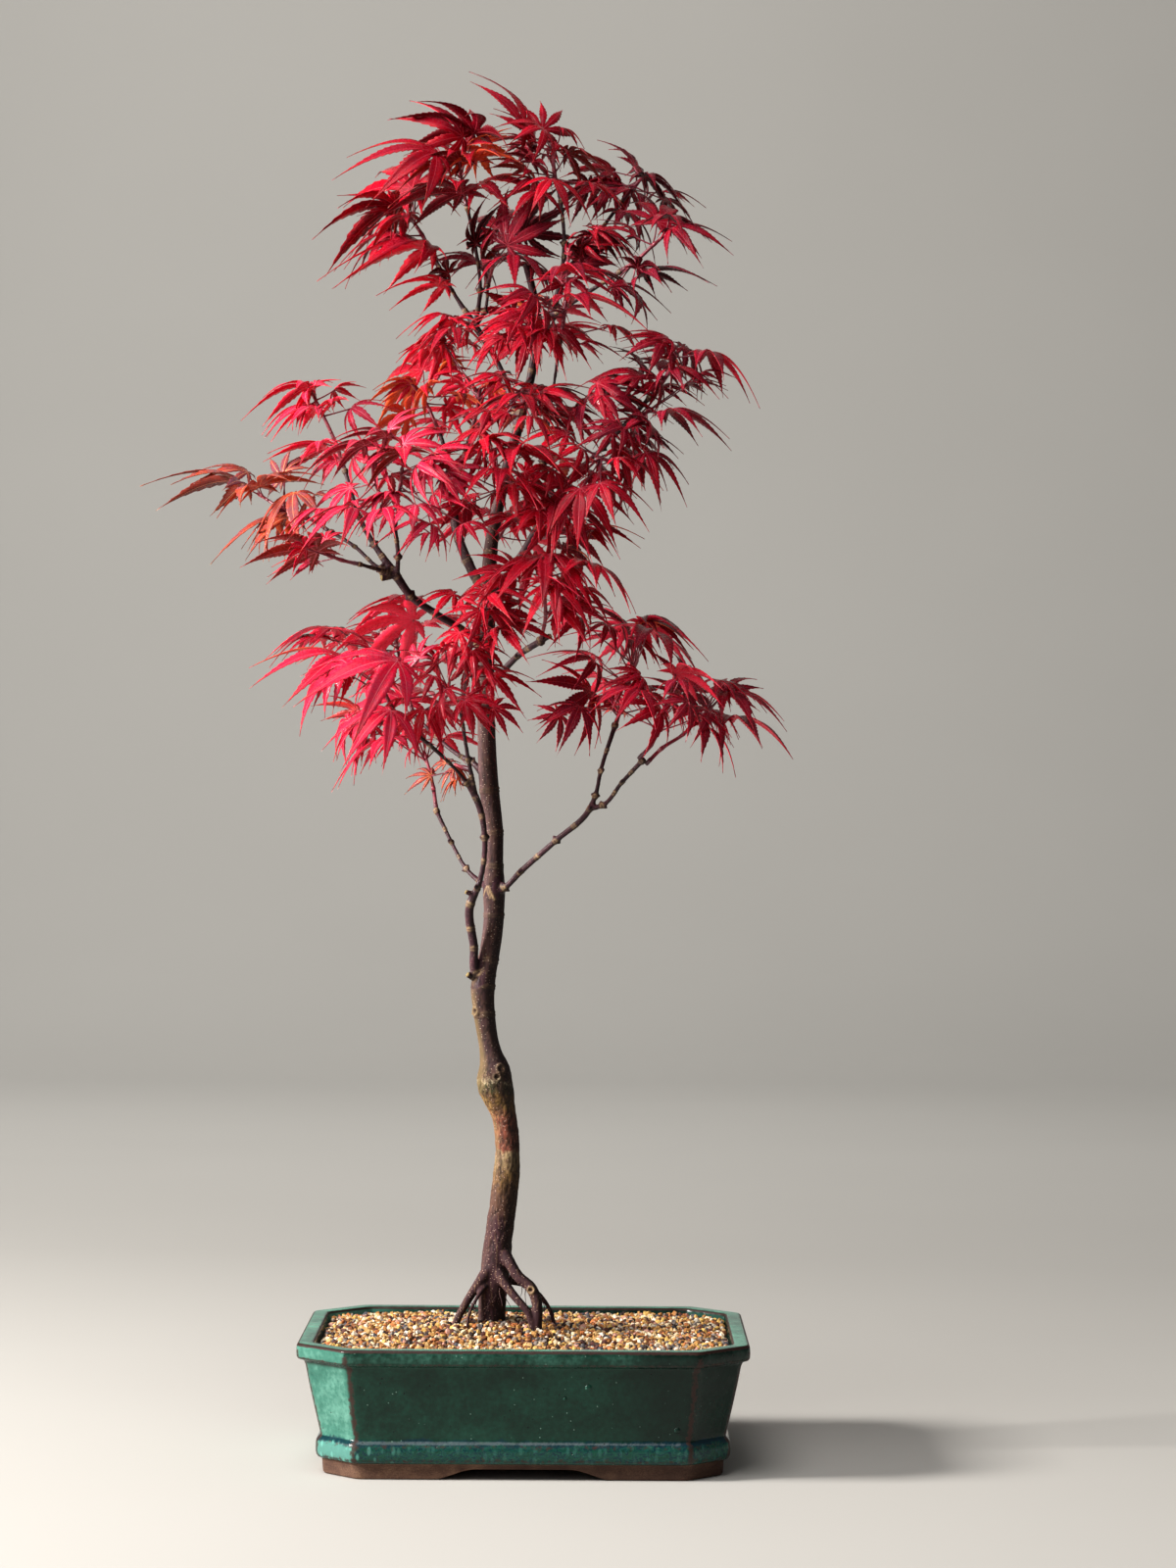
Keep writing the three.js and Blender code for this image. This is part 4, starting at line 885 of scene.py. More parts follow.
def carveBark(bm, paths):
    samples, near = barkField(paths)
    axes = {"use_axis_x": True, "use_axis_y": True, "use_axis_z": True}
    bmesh.ops.smooth_vert(bm, verts=bm.verts, factor=woodShape["firstSmooth"], **axes)
    bm.normal_update()
    girthLayer, ringLayer, crackLayer = [bm.verts.layers.float.new(name) for name in ("girth", "ring", "crack")]
    youngest, oldest = woodShape["youngGirth"], woodShape["oldGirth"]
    (lipAt, lipWidth), (detail, detailShare) = woodShape["scarLip"], woodShape["plateDetail"]
    lumpy, cracked, torn, grainy, uneven = woodShape["relief"]
    (waveScale, wave), (ringLeast, ringAged) = woodShape["ringWave"], woodShape["ringByAge"]
    moves = []
    for vert in bm.verts:
        p = fromFrame @ vert.co
        hits = near.find_n(p, woodShape["nearest"])
        best = min(hits, key=lambda hit: abs((p - hit[0]).length - samples[hit[1]][2]))
        spot, way, girth, ring = samples[best[1]]
        rough = 1 - clamped((p.z - woodShape["graft"]) / woodShape["graftBorder"])
        old = clamped((girth - youngest) / (oldest - youngest))
        # long plates with cracks between them on the stock, finer skin above the graft
        stretched = stretchedBy(p, woodShape["plateScale"])
        plate = noise.noise(stretched) + detailShare * noise.noise(stretched * detail)
        crack = max(0.0, 1 - abs(plate) * woodShape["crackSharp"])
        lump = sum(share * noise.noise(p * scale) for scale, share in woodShape["lumps"])
        grain = noise.noise(stretchedBy(p, woodShape["grainScale"]))
        depth = woodShape["barkDepth"] * rough + woodShape["skinDepth"] * (1 - rough)
        fine = lumpy * lump - crack * (cracked + torn * rough) + grainy * grain
        push = old * (depth * fine + uneven * rough * lump)
        band = 0.0
        if ring is not None:
            along = (p - ring).dot(way) + wave * noise.noise(p * waveScale)
            band = sum(share * bell(along - at, width) for at, width, share in woodShape["ringBands"])
            push += woodShape["ringHeight"] * band * (ringLeast + ringAged * old)
        for x, y, z, size in knotScars:
            away = (p - Vector((x, y, z))).length
            if away < woodShape["scarReach"] * size:
                lip = bell(away - size * lipAt, lipWidth * size)
                hollow = bell(away, woodShape["scarHollow"] * size)
                push += woodShape["scarDepth"] * (lip - hollow)
                crack = max(crack, hollow)
                band = max(band, woodShape["scarRing"] * lip)
        vert[girthLayer] = girth
        vert[ringLayer] = min(band, 1.0)
        vert[crackLayer] = crack * old
        moves.append(push * millimetre)
    for vert, push in zip(bm.verts, moves):
        vert.co += vert.normal * push
    return bm


def rootlets():
    draw = random.Random(woodShape["hairSeed"])
    (left, right), (front, back) = woodShape["hairLean"]
    shift, sideways = woodShape["hairShift"], woodShape["hairSway"]
    made = []
    for x, y, z in hairStarts:
        for _ in range(woodShape["hairs"]):
            length = draw.uniform(*woodShape["hairLength"])
            lean = Vector((draw.uniform(left, right), draw.uniform(front, back), -1)).normalized()
            spot = Vector((x + draw.uniform(-shift, shift), y, z))
            points = []
            for k in range(woodShape["hairSteps"]):
                points.append((*spot, woodShape["hairRadius"] - woodShape["hairTaper"] * k))
                sway = Vector((draw.uniform(-sideways, sideways), draw.uniform(-sideways, sideways), 0))
                spot = spot + lean * length / (woodShape["hairSteps"] - 1) + sway
            made.append(tube(smoothPath(points, woodShape["hairSpacing"]), woodShape["hairSides"]))
    return made


bark = newMaterial("mapleBark", Specular_IOR_Level=0.22)
where = place()
across, _, height = split(where)
girth, ring, crack = carried("girth"), carried("ring"), carried("crack")
patchy = cloud(where, 0.13, 0.9, 0.4)
streaks = speckle(place(0.6, 0.6, 0.07), 1.0, 5.0, 0.65)
# height up the trunk, with its zones' borders broken up
level = height + (patchy - 0.5) * 20.0
zones = ramp(span(level, 60.0, 240.0, kind="LINEAR"), (
    "0.0 32191d  0.40 3e2228  0.49 5e402c  0.56 8c6a3c  0.615 b29a72  0.635 884838  0.735 92503c  0.765 a07a42  "
    "0.80 866436  0.815 3c3e22  0.838 44402a  0.846 cbb894  0.856 4e352c  0.90 3e2729"
))
dullness = span(speckle(place(1, 1, 0.55), 0.3, 4.0, 0.6), 0.4, 0.62, 0.1, 0.8) * span(level, 138.0, 150.0)
zones = blend(dullness, zones, "4a3128")
lighter = blend(span(streaks, 0.52, 0.74, 0.0, 0.4), zones, "b08a64")
lighter = blend(span(streaks, 0.47, 0.3, 0.0, 0.65), lighter, "20130f")
upper = blend(span(streaks, 0.46, 0.68, 0.0, 0.5), zones, "604842")
dots = span(cells(place(0.55, 0.55, 0.85), 1.0), 0.24, 0.13) * span(patchy, 0.36, 0.5)
upper = blend(dots * 0.85, upper, "c4ab98")
lighter = blend(dots * 0.75, lighter, "d4b09c")
# painted light: an olive tint on the left edge of the young bark above the graft, where the key light falls
paintedLitEdge = span(across, -27.0, -31.0) * span(height, 222.0, 232.0) * span(height, 272.0, 262.0)
upper = blend(paintedLitEdge * span(patchy, 0.35, 0.5, 0.25, 0.9), upper, "83703f")
stem = blend(span(height, 226.0, 214.0), upper, lighter)
twig = ramp(patchy, "0.3 23141a  0.5 3a2028  0.66 563038  0.8 7a4a48")
twig = blend(dots * 0.5, twig, "a08a78")
young = span(girth, 4.2, 2.4) * span(height, 120.0, 135.0)
wood = blend(young, stem, twig)
wood = blend(crack * 0.75, wood, "150c0b")
# pale bud-scale rings, weaker on thick wood but for the whorl under the main fork
ringShare = span(patchy, 0.4, 0.6, 0.3, 0.95) * span(girth, 4.6, 2.6, 0.28, 1.0)
whorl = span(calc("ABSOLUTE", height - 318.0), 8.0, 5.0, 0.0, 0.8)
wood = blend(ring * most(ringShare, whorl), wood, "b4966e")
# painted light: lighter where the bark faces the key light; painted shade: dark on the far side from it
turned = facing(-0.93, -0.3, 0.2)
paintedLitShare = span(turned, 0.62, 0.98, 0.0, 0.3) * (1.0 - young * 0.6)
paintedLitColour = ramp(span(height, 100.0, 300.0, kind="LINEAR"), "0.25 6e504a  0.42 a88e5c  0.78 a88e5c  0.88 866464")
wood = blend(paintedLitShare, wood, paintedLitColour)
wood = blend(span(turned, 0.4, -0.25, 0.0, 0.8), wood, "0c0707")
roughness = span(streaks, 0.3, 0.7, 0.62, 0.86) - young * 0.26
finishMaterial(wood, roughness, streaks * 1.0 + patchy * 0.7 + dots * 0.25, 0.0004, 0.75)

cutWood = newMaterial("cutWood", Specular_IOR_Level=0.3)
grain = cloud(place(), 0.4, 2.0, 0.5)
finishMaterial(ramp(grain, "0.3 4a3524  0.6 a8925e  0.8 cbbf86"), 0.8, grain, 0.0003, 0.8)

limbPaths = makeLimbs()
bm = carveBark(melt(fuseLimbs(limbPaths)), limbPaths)
hairs = bmesh.new()
joinInto(hairs, rootlets())
inFrame(hairs)
joinInto(bm, [meshOf(hairs)])
cutEnds = [(Vector(points[-1][:3]), points[-1][3] * woodShape["cutReach"]) for points in stubLimbs.values()]
for face in bm.faces:
    face.smooth = True
    middle = fromFrame @ face.calc_center_median()
    face.material_index = int(any((middle - end).length < size for end, size in cutEnds))
maple = standFor(pieceOf("mapleTree", meshOf(bm), [bark, cutWood]), "bark", "tree")
print("tree made:", len(maple.data.polygons), "faces")

leafShape = {
    "lobeAngles": (-122, -80, -40, 0, 40, 80, 122),
    "lobeShares": (0.36, 0.74, 0.94, 1, 0.94, 0.74, 0.36),
    "notchShares": (0.12, 0.15, 0.17, 0.17, 0.15, 0.12), "lobeScatter": (0.9, 0.2),
    "back": 0.06, "backHalf": 0.8,
    "neckCurve": 1.3, "taperCurve": 1.5, "taperFull": 0.5,      # a lobe's outline below and above its widest place
    "widestAt": 0.42, "halfWidth": 0.112, "widthDraw": (0.9, 1.06), "smallWiden": 1.25, "smallFrom": 100,
    "neck": 0.152, "smallNeck": 0.1,    # where the teeth begin, of the middle lobe and of a basal lobe's own length
    "startScatter": 16, "tipScatter": 26, "rollSpread": 0.9, "leastCup": 0.45, "cupSpread": 0.35,
    "leanOut": 0.9, "trunkX": -20,
    "toothLength": 2.2,                 # millimetres of margin to each forward-pointing tooth
    "toothDepth": 0.11,                 # of the lobe's half width
    "toothGap": -0.75, "toothLean": 0.55, "toothedTo": 0.96, "neckRows": 2, "toothRows": 2,
    "fewestTeeth": 4, "mostTeeth": (8, 14),     # on a plain and on a finest leaf
    "notchFade": 0.35,                  # share of the free lobe over which the notches' line dies away
    "channel": 0.3,                     # how far the margins stand above the midrib, of the half width
    "channelCurve": 1.4, "pleat": 0.03, "bend": 0.09, "droop": (0.05, 0.2), "droopFrom": 0.4, "curl": 0.25,
    "warmth": (0.4, 1), "merge": 0.02,
    "thickness": 0.00034,               # metres
    "finestFrom": 34,                   # leaves of this length in front get finer lobes
    # a filling leaf: how far it is turned about its stem point, how far out, up and large it is beside its model
    "fillTurn": (0.4, 2.0), "fillOut": (0.5, 1.05), "fillRise": (-10, 8), "fillSize": (0.6, 0.9),
    "fillScatter": 0.35, "fillDepth": 98, "fillTipDepth": 108,
    # a stalk: places along it, with shares of its sag, its sway and its radius
    "stalk": ((0, 0, 0, 1.35), (0.07, 0.3, 0, 1.15), (0.45, 1, 1, 0.88), (0.85, 0.4, 0.3, 0.86), (1, 0, 0, 1.05)),
    "stalkRadius": 0.5, "stalkSag": 0.02, "stalkSway": 0.6, "stalkSpacing": 1.7,
    "stalkStarts": ((0.8, 1.0), (0.35, 0.9)), "stalkForms": ((6, 5.0), (5, 8.0)),      # of main and filling leaves
    # a stem: radius and its loss a point, swellings at its leaves and above its foot, and its rounded end
    "stemRadius": 1.15, "stemTaper": 0.08, "stemSpacing": 1.2, "stemSides": 8, "leafSwell": (0.28, 1.5),
    "footSwells": ((0.22, 1.6, 0.7), (0.2, 3.6, 0.6)), "stemEnd": ((1.0, 1.05), (2.1, 0.75), (3.0, 0.2)),
    "ageReach": 0.03,                   # metres from its foot over which a stem turns young
}
# for each tone of foliage: deep, main and bright upper face, the underside, the ribs, and the tips
leafTones = {
    "crimson": ("5e0210", "b4061e", "ea143a", "8c1426", "dc4458", "7a2418"),
    "pink": ("a80626", "de1438", "fa3a5e", "b02c48", "f47c8c", "b8452c"),
    "maroon": ("4c0512", "960a20", "d41a36", "701426", "c84252", "641e1c"),
    "orange": ("7c2010", "b64220", "dc7036", "7a4450", "f0a070", "6e3a20"),
}

# each shoot: its tone, its seed, the seed and count of its filling leaves, how far its leaves are painted
# lighter (painted light) and, below zero, darker (painted shade), the share of warm leaves, the stem's points, and
# for each leaf the stem point it leaves from, where its blade starts and where its middle lobe ends
sprays = {
    "top": ("crimson", 86, (309, 10), -1.1, 0.3, [(17, -2, 711), (13, 2, 729), (12, 6, 743)], [
        (2, -5, 6, 752, -15, 40, 774), (2, 7, -12, 749, -13, -32, 738), (2, 17, 12, 754, 30, 2, 743),
        (1, 20, 2, 740, 46, -10, 724), (1, -4, -6, 727, -21, -40, 725), (1, 12, -30, 718, 21, -54, 691),
        (1, 4, -20, 714, -11, -42, 695),
    ]),
    "top_left": ("crimson", 22, (255, 6), -0.4, 0.75, [(-36, -1, 707), (-39, -6, 719), (-40, -8, 726)], [
        (2, -32, -12, 748, -63, -46, 760), (2, -53, -26, 733, -109, -34, 719), (1, -39, -20, 713, -76, -52, 701),
        (2, -29, 20, 746, -7, 56, 741),
    ]),
    "upper_left": ("crimson", 41, (68, 7), -0.7, 0.3, [(-58, 28, 687), (-63, 28, 696), (-70, 27, 706)], [
        (2, -78, 20, 712, -124, 4, 691), (1, -57, 0, 685, -119, -16, 664), (1, -49, 16, 665, -87, 0, 659),
        (2, -69, 42, 723, -93, 84, 740), (2, -69, -4, 702, -103, -20, 677),
    ]),
    "top_dark": ("maroon", 126, (337, 6), -2.2, 0.06, [(-25, 33, 668), (-22, 22, 677), (-18, 4, 681)], [
        (2, -13, -16, 684, 7, -14, 717), (2, -9, -22, 677, -10, -44, 652), (1, -32, 46, 681, -51, 84, 680),
        (1, -16, 44, 698, -12, 86, 719),
    ]),
    "upper_right": ("maroon", 145, (85, 7), -1.3, 0.06, [(51, 29, 715), (60, 38, 727), (65, 42, 733)], [
        (2, 65, 30, 730, 86, 4, 711), (1, 43, 14, 721, 33, -16, 697), (2, 59, 60, 741, 57, 100, 741),
        (1, 53, 8, 706, 62, -20, 681), (1, 73, 62, 726, 94, 92, 721),
    ]),
    "right_tip": ("maroon", 7, (97, 6), -2.4, 0.06,
     [(50, -42, 666), (60, -49, 672), (69, -52, 680), (76, -52, 686)], [
        (3, 79, -52, 688, 112, -62, 672), (1, 64, -56, 662, 96, -78, 656), (2, 71, -26, 695, 84, 4, 707),
        (1, 49, -30, 660, 78, -34, 646),
    ]),
    "above_junction": ("crimson", 143, (92, 6), -2.2, 0.06, [(18, -12, 668), (25, -26, 681), (32, -34, 684)], [
        (2, 34, -40, 687, 56, -62, 673), (1, 30, -20, 677, 46, 8, 688),
    ]),
    "thin_stem": ("maroon", 155, (31, 8), 1.2, 0.06, [(17, -38, 627), (20, -42, 646), (21, -46, 659)], [
        (2, 21, -50, 666, 34, -86, 651), (1, 2, -62, 651, -21, -86, 641), (1, 23, -68, 649, 63, -90, 631),
        (2, 29, -30, 673, 46, -30, 683),
    ]),
    "mid_umbrella": ("crimson", 135, (95, 9), 0.3, 0.06, [(3, 2, 630), (6, -22, 631), (7, -34, 632)], [
        (2, 5, -46, 633, 4, -76, 604), (1, -21, -26, 625, -30, -40, 607), (2, -8, -56, 634, -29, -74, 623),
        (1, 45, -34, 636, 66, -48, 620),
    ]),
    "right_high": ("maroon", 66, (284, 8), -0.8, 0.06, [(67, -54, 595), (77, -58, 608), (80, -60, 618)], [
        (2, 97, -66, 618, 126, -78, 588), (2, 79, -62, 623, 52, -70, 628), (1, 78, -66, 609, 104, -84, 591),
        (1, 71, -30, 616, 84, 8, 612),
    ]),
    "right_mid": ("maroon", 60, (143, 10), -0.9, 0.06, [(55, -49, 582), (62, -62, 584), (66, -70, 586)], [
        (2, 76, -74, 585, 109, -86, 570), (1, 61, -58, 573, 85, -74, 563), (1, 33, -54, 596, 78, -76, 580),
        (1, 74, -24, 604, 94, 2, 602), (1, 52, -84, 575, 34, -100, 564),
    ]),
    "right_inner": ("crimson", 110, (306, 12), -1.2, 0.2, [(36, -38, 565), (41, -54, 561), (46, -64, 559)], [
        (2, 65, -62, 563, 88, -78, 535), (2, 49, -80, 559, 74, -100, 542), (1, 40, -88, 545, 67, -100, 519),
        (1, 29, -66, 543, 50, -80, 509), (1, 56, -20, 574, 76, 12, 565), (1, 33, -50, 556, 17, -66, 542),
    ]),
    "right_low": ("crimson", 92, (59, 9), 1.6, 0.2, [(4, -16, 521), (10, -36, 519), (15, -46, 523)], [
        (2, 23, -58, 533, 34, -84, 502), (2, 36, -50, 522, 62, -70, 512), (1, 6, -60, 532, -9, -86, 514),
        (1, 23, -8, 521, 46, 20, 520),
    ]),
    "centre": ("crimson", 142, (217, 11), 0.2, 0.06, [(-17, -2, 544), (-16, -34, 546), (-16, -56, 550)], [
        (2, -15, -72, 553, -14, -110, 533), (2, -27, -50, 566, -50, -62, 549), (1, -4, -66, 563, 19, -98, 550),
        (1, -34, -44, 537, -51, -62, 520), (2, -4, -40, 549, 12, -40, 532),
    ]),
    "centre_top": ("crimson", 117, (132, 13), -0.7, 0.2, [(0, 2, 611), (-3, -28, 603), (-4, -44, 598)], [
        (2, -4, -58, 595, -17, -96, 581), (2, 6, -52, 597, 34, -78, 589), (1, -15, -46, 607, -38, -64, 598),
        (1, 15, -8, 591, 37, 20, 585), (2, 1, -74, 582, 14, -96, 560), (1, -22, -36, 589, -41, -54, 577),
    ]),
    "umbrella": ("crimson", 64, (64, 11), 2.6, 0.06,
     [(7, -26, 461), (10, -48, 476), (9, -58, 489), (9, -60, 499)], [
        (3, 9, -68, 506, 11, -98, 474), (3, -7, -54, 499, -41, -62, 495), (2, 14, -84, 489, 19, -106, 457),
        (3, 34, -58, 503, 57, -72, 475), (1, 23, -30, 479, 15, 6, 467),
    ]),
    "right_crest": ("maroon", 111, (130, 13), 3.4, 0.06,
     [(49, -18, 414), (53, -14, 425), (57, -9, 439), (61, -5, 450)], [
        (3, 63, -12, 472, 101, -26, 453), (2, 37, -20, 450, 6, -32, 442), (3, 67, -40, 467, 82, -64, 444),
        (1, 29, -40, 424, 17, -58, 397), (1, 44, -30, 431, 62, -52, 422), (3, 56, 26, 465, 43, 68, 465),
        (3, 53, -8, 470, 33, 4, 457), (1, 35, -26, 433, 6, -38, 412),
    ]),
    "right_inner_low": ("maroon", 137, (113, 10), 0.3, 0.06,
     [(62, -43, 395), (69, -45, 403), (73, -48, 411), (75, -50, 420)], [
        (3, 82, -62, 442, 107, -78, 435), (3, 62, -76, 433, 49, -96, 414), (2, 88, -78, 426, 76, -110, 411),
        (3, 88, -16, 433, 100, 20, 437),
    ]),
    "right_tip_low": ("maroon", 80, (58, 6), 0.9, 0.06,
     [(66, -41, 392), (75, -40, 401), (87, -36, 409), (94, -33, 416), (101, -30, 423)], [
        (4, 111, -32, 434, 145, -42, 413), (4, 116, -24, 419, 149, -32, 396), (3, 98, -48, 414, 110, -62, 389),
        (4, 111, 6, 433, 129, 42, 443),
    ]),
    "trunk_front": ("crimson", 9, (219, 12), 0.1, 0.06,
     [(-36, -37, 428), (-34, -52, 441), (-31, -60, 457), (-30, -62, 467)], [
        (3, -26, -74, 475, -46, -100, 461), (3, -20, -72, 484, 10, -96, 476), (2, -14, -60, 468, 0, -80, 447),
        (1, -19, -44, 441, -1, -46, 417), (3, -41, -50, 486, -63, -64, 477), (2, -37, -66, 464, -43, -72, 439),
    ]),
    "left_low_back": ("maroon", 137, (206, 7), 1.2, 0.06,
     [(-67, 50, 420), (-72, 54, 435), (-75, 56, 449), (-78, 56, 464)], [
        (3, -68, 34, 486, -104, 18, 474), (3, -66, 8, 474, -114, -4, 455), (2, -111, 32, 470, -152, 20, 453),
        (3, -62, 72, 473, -42, 104, 469), (2, -58, 66, 452, -52, 102, 439),
    ]),
    "left_low_front": ("pink", 141, (102, 9), -0.5, 0.06, [(-68, -50, 413), (-75, -60, 424), (-80, -66, 435)], [
        (2, -101, -66, 450, -151, -76, 436), (2, -70, -96, 447, -123, -108, 421),
        (1, -73, -92, 420, -99, -106, 388), (1, -75, -72, 405, -103, -84, 379), (2, -87, -40, 455, -113, -46, 468),
    ]),
    "left_low_centre": ("crimson", 84, (262, 9), 1, 0.06, [(-40, -43, 426), (-43, -58, 432), (-46, -70, 434)], [
        (2, -44, -88, 432, -44, -104, 412), (1, -33, -86, 426, -15, -104, 409), (1, -57, -64, 421, -62, -80, 389),
        (1, -50, -58, 448, -69, -62, 454),
    ]),
    "left_under": ("orange", 36, (287, 3), -1, 0.3, [(-32, -26, 389), (-36, -24, 390), (-40, -20, 391)], [
        (2, -42, -18, 389, -41, -30, 375), (2, -55, -4, 385, -70, 12, 383),
    ]),
    "left_low_inner": ("pink", 62, (313, 5), 0.1, 0.06,
     [(-53, 32, 365), (-55, 34, 378), (-57, 36, 387), (-60, 38, 397)], [
        (3, -71, 30, 408, -95, 40, 397), (3, -55, 62, 422, -38, 94, 415), (3, -74, 74, 429, -87, 112, 437),
    ]),
    "far_left": ("orange", 15, (267, 6), -1, 0.06,
     [(-114, 0, 524), (-127, 10, 532), (-141, 14, 537), (-154, 18, 545)], [
        (3, -164, 20, 551, -220, 12, 551), (1, -132, -14, 544, -149, -26, 505), (2, -141, 16, 554, -149, 42, 569),
        (1, -136, 2, 531, -180, -8, 506),
    ]),
    "far_left_low": ("pink", 3, (78, 3), -1.2, 0.9, [(-94, -34, 503), (-104, -40, 505), (-110, -44, 507)], [
        (2, -117, -50, 509, -147, -72, 513), (2, -121, -26, 504, -145, -8, 502),
    ]),
    "left_tall": ("pink", 134, (320, 7), 0, 0.06,
     [(-105, 6, 558), (-111, 10, 575), (-119, 14, 592), (-124, 16, 602)], [
        (3, -127, 16, 607, -164, 4, 588), (2, -120, -8, 593, -149, -24, 577), (1, -115, 14, 571, -151, 0, 564),
        (3, -113, 28, 607, -99, 58, 603), (1, -99, -10, 566, -77, -34, 555),
    ]),
    "left_lower": ("pink", 140, (121, 7), -1.7, 0.06,
     [(-77, -35, 528), (-82, -39, 540), (-86, -40, 550), (-87, -42, 559)], [
        (1, -94, -74, 531, -125, -98, 505), (2, -100, -30, 546, -124, -14, 530), (3, -90, -56, 567, -118, -74, 556),
        (3, -79, -52, 573, -108, -60, 570), (3, -78, -14, 580, -64, 24, 590),
    ]),
    "left_front": ("pink", 23, (44, 9), -2.5, 0.06,
     [(-74, -39, 527), (-73, -42, 537), (-71, -47, 546), (-70, -52, 554)], [
        (2, -77, -92, 530, -87, -112, 509), (1, -53, -78, 523, -71, -94, 503), (3, -67, -72, 563, -92, -92, 545),
        (3, -60, -86, 555, -39, -110, 541), (2, -52, -56, 542, -31, -80, 531),
    ]),
    "left_back_tall": ("crimson", 92, (120, 6), 1.1, 0.06, [(-34, 43, 586), (-31, 45, 598), (-30, 47, 608)], [
        (2, -50, 40, 634, -74, 34, 617), (2, -38, 52, 618, -60, 74, 606), (1, -43, 78, 597, -54, 112, 590),
        (2, -22, 30, 609, -5, 14, 591),
    ]),
    "left_back": ("crimson", 82, (69, 6), 1.2, 0.35, [(-53, 44, 584), (-59, 48, 597), (-64, 51, 607)], [
        (2, -70, 48, 613, -98, 36, 597), (2, -58, 22, 608, -67, -12, 587), (1, -70, 22, 592, -93, 6, 577),
        (2, -64, 78, 623, -75, 118, 633),
    ]),
    "junction": ("crimson", 103, (48, 8), 0.2, 0.06, [(-32, 22, 643), (-38, 14, 644), (-42, 10, 646)], [
        (2, -47, 6, 647, -76, -8, 634), (1, -42, -14, 636, -56, -36, 617), (1, -37, 44, 636, -53, 78, 634),
    ]),
    "back_crown": ("maroon", 66, (287, 5), 0.8, 0.3, [(4, 3, 638), (8, 26, 639), (10, 44, 645)], [
        (2, 15, 56, 653, 40, 84, 652), (2, 0, 64, 654, -13, 104, 654), (1, 27, 40, 634, 53, 56, 628),
    ]),
    "back_middle": ("maroon", 63, (275, 5), 1.5, 0.06, [(-21, -1, 516), (-17, 24, 523), (-15, 44, 529)], [
        (2, -12, 58, 540, 11, 88, 531), (2, -26, 66, 539, -42, 104, 532), (1, 0, 44, 522, 26, 60, 515),
    ]),
}
sprayKeys = ("look", "seed", "fill", "glow", "warm", "stem", "leaves")
sprays = {name: dict(zip(sprayKeys, row)) for name, row in sprays.items()}

# the net of ribs and side veins, from the blade's own measures: along and aside in millimetres
bladeLines, (ribWidth,) = newGroup("bladeLines", {"Rib Width": 0.34})
along, aside, tipward = split(carried("blade", "Vector"))
tone, share, warmth = split(carried("leaf", "Vector"))
ribs = span(calc("DIVIDE", aside, ribWidth * span(tipward, 1.0, 0.1, 0.35, 1.0)), 1.25, 0.55)
wave = calc("PINGPONG", along - aside * 1.15 + 40.0, 1.3)
veins = span(wave, 0.24, 0.04) * span(tipward, 0.95, 0.8)
finishGroup({"Ribs": ribs, "Veins": veins, "Tone": tone, "Tipward": tipward, "Margin": share, "Warmth": warmth})


def bladeMaterial(look, name, upper):
    deep, main, bright, below, rib, tip = leafTones[look]
    material = newMaterial(name, Specular_IOR_Level=0.15, Subsurface_Weight=0.35, Subsurface_Scale=0.001)
    canvas["shader"].inputs["Subsurface Radius"].default_value = (1.0, 0.25, 0.2)
    where = place()
    outputs = signal("Group", "Ribs", {}, node_tree=bladeLines).socket.node.outputs
    ribs, veins, tone, tipward, margin, warmth = [Signal(output) for output in outputs]
    patch = cloud(where, 0.035, 0.42, 0.3)
    if upper:
        # each leaf's random tone plus its shoot's painted light and painted shade; past the brightest stop it goes on
        # to hot pink, below the deepest to near black
        toneAndPaintedLight = patch + tone * 0.26
        colour = ramp(toneAndPaintedLight, f"0.28 {deep}  0.5 {main}  0.72 {bright}")
        colour = blend(span(toneAndPaintedLight, 0.74, 1.0), colour, blend(0.6, bright, "ff3c5c"))
        colour = blend(span(toneAndPaintedLight, 0.2, -0.2, 0.0, 0.65), colour, "220208")
        colour = blend(warmth, colour, ramp(toneAndPaintedLight, "0.28 6e1a0e  0.5 b8381a  0.72 e0702e"))
        colour = blend(veins * 0.09, colour, rib)
        colour = blend(ribs * 0.42, colour, rib)
    else:
        colour = blend(span(patch, 0.35, 0.65), main, below)
        colour = blend(veins * 0.35, colour, deep)
        colour = blend(ribs * 0.7, colour, rib)
    # margins and thread-like tips dry a little darker
    colour = blend(span(tipward, 0.7, 1.0) * span(patch, 0.4, 0.6) * 0.7, colour, tip)
    colour = blend(span(margin, 0.86, 1.0) * 0.3, colour, deep)
    roughness = span(speckle(where, 0.9, 3.0), 0.4, 0.62, 0.4, 0.1) + patch * 0.14
    if not upper:
        roughness = roughness - 0.08
    relief = ribs * (1.0 if upper else 1.4) + veins * 0.45 + speckle(where, 1.5, 3.0) * 0.5
    finishMaterial(colour, roughness, relief, 0.00022, 0.8)
    return material


shootSkin = newMaterial("youngShoot", Specular_IOR_Level=0.5, Coat_Weight=0.15, Coat_Roughness=0.3)
flush = cloud(place(), 0.1, 0.9, 0.4)
older = split(carried("blade", "Vector"))[2]
skin = ramp(flush, "0.3 4a1224  0.5 7d1c30  0.7 a83a44")
skin = blend(span(older, 0.35, 0.0), skin, blend(flush, "2e1420", "573039"))
finishMaterial(skin, span(flush, 0.3, 0.7, 0.34, 0.5), speckle(place(1, 1, 0.4), 1.2, 3.0), 0.00015, 0.5)

leafMaterials = {
    look: [bladeMaterial(look, look + "LeafTop", True), bladeMaterial(look, look + "LeafBelow", False), shootSkin]
    for look in leafTones
}


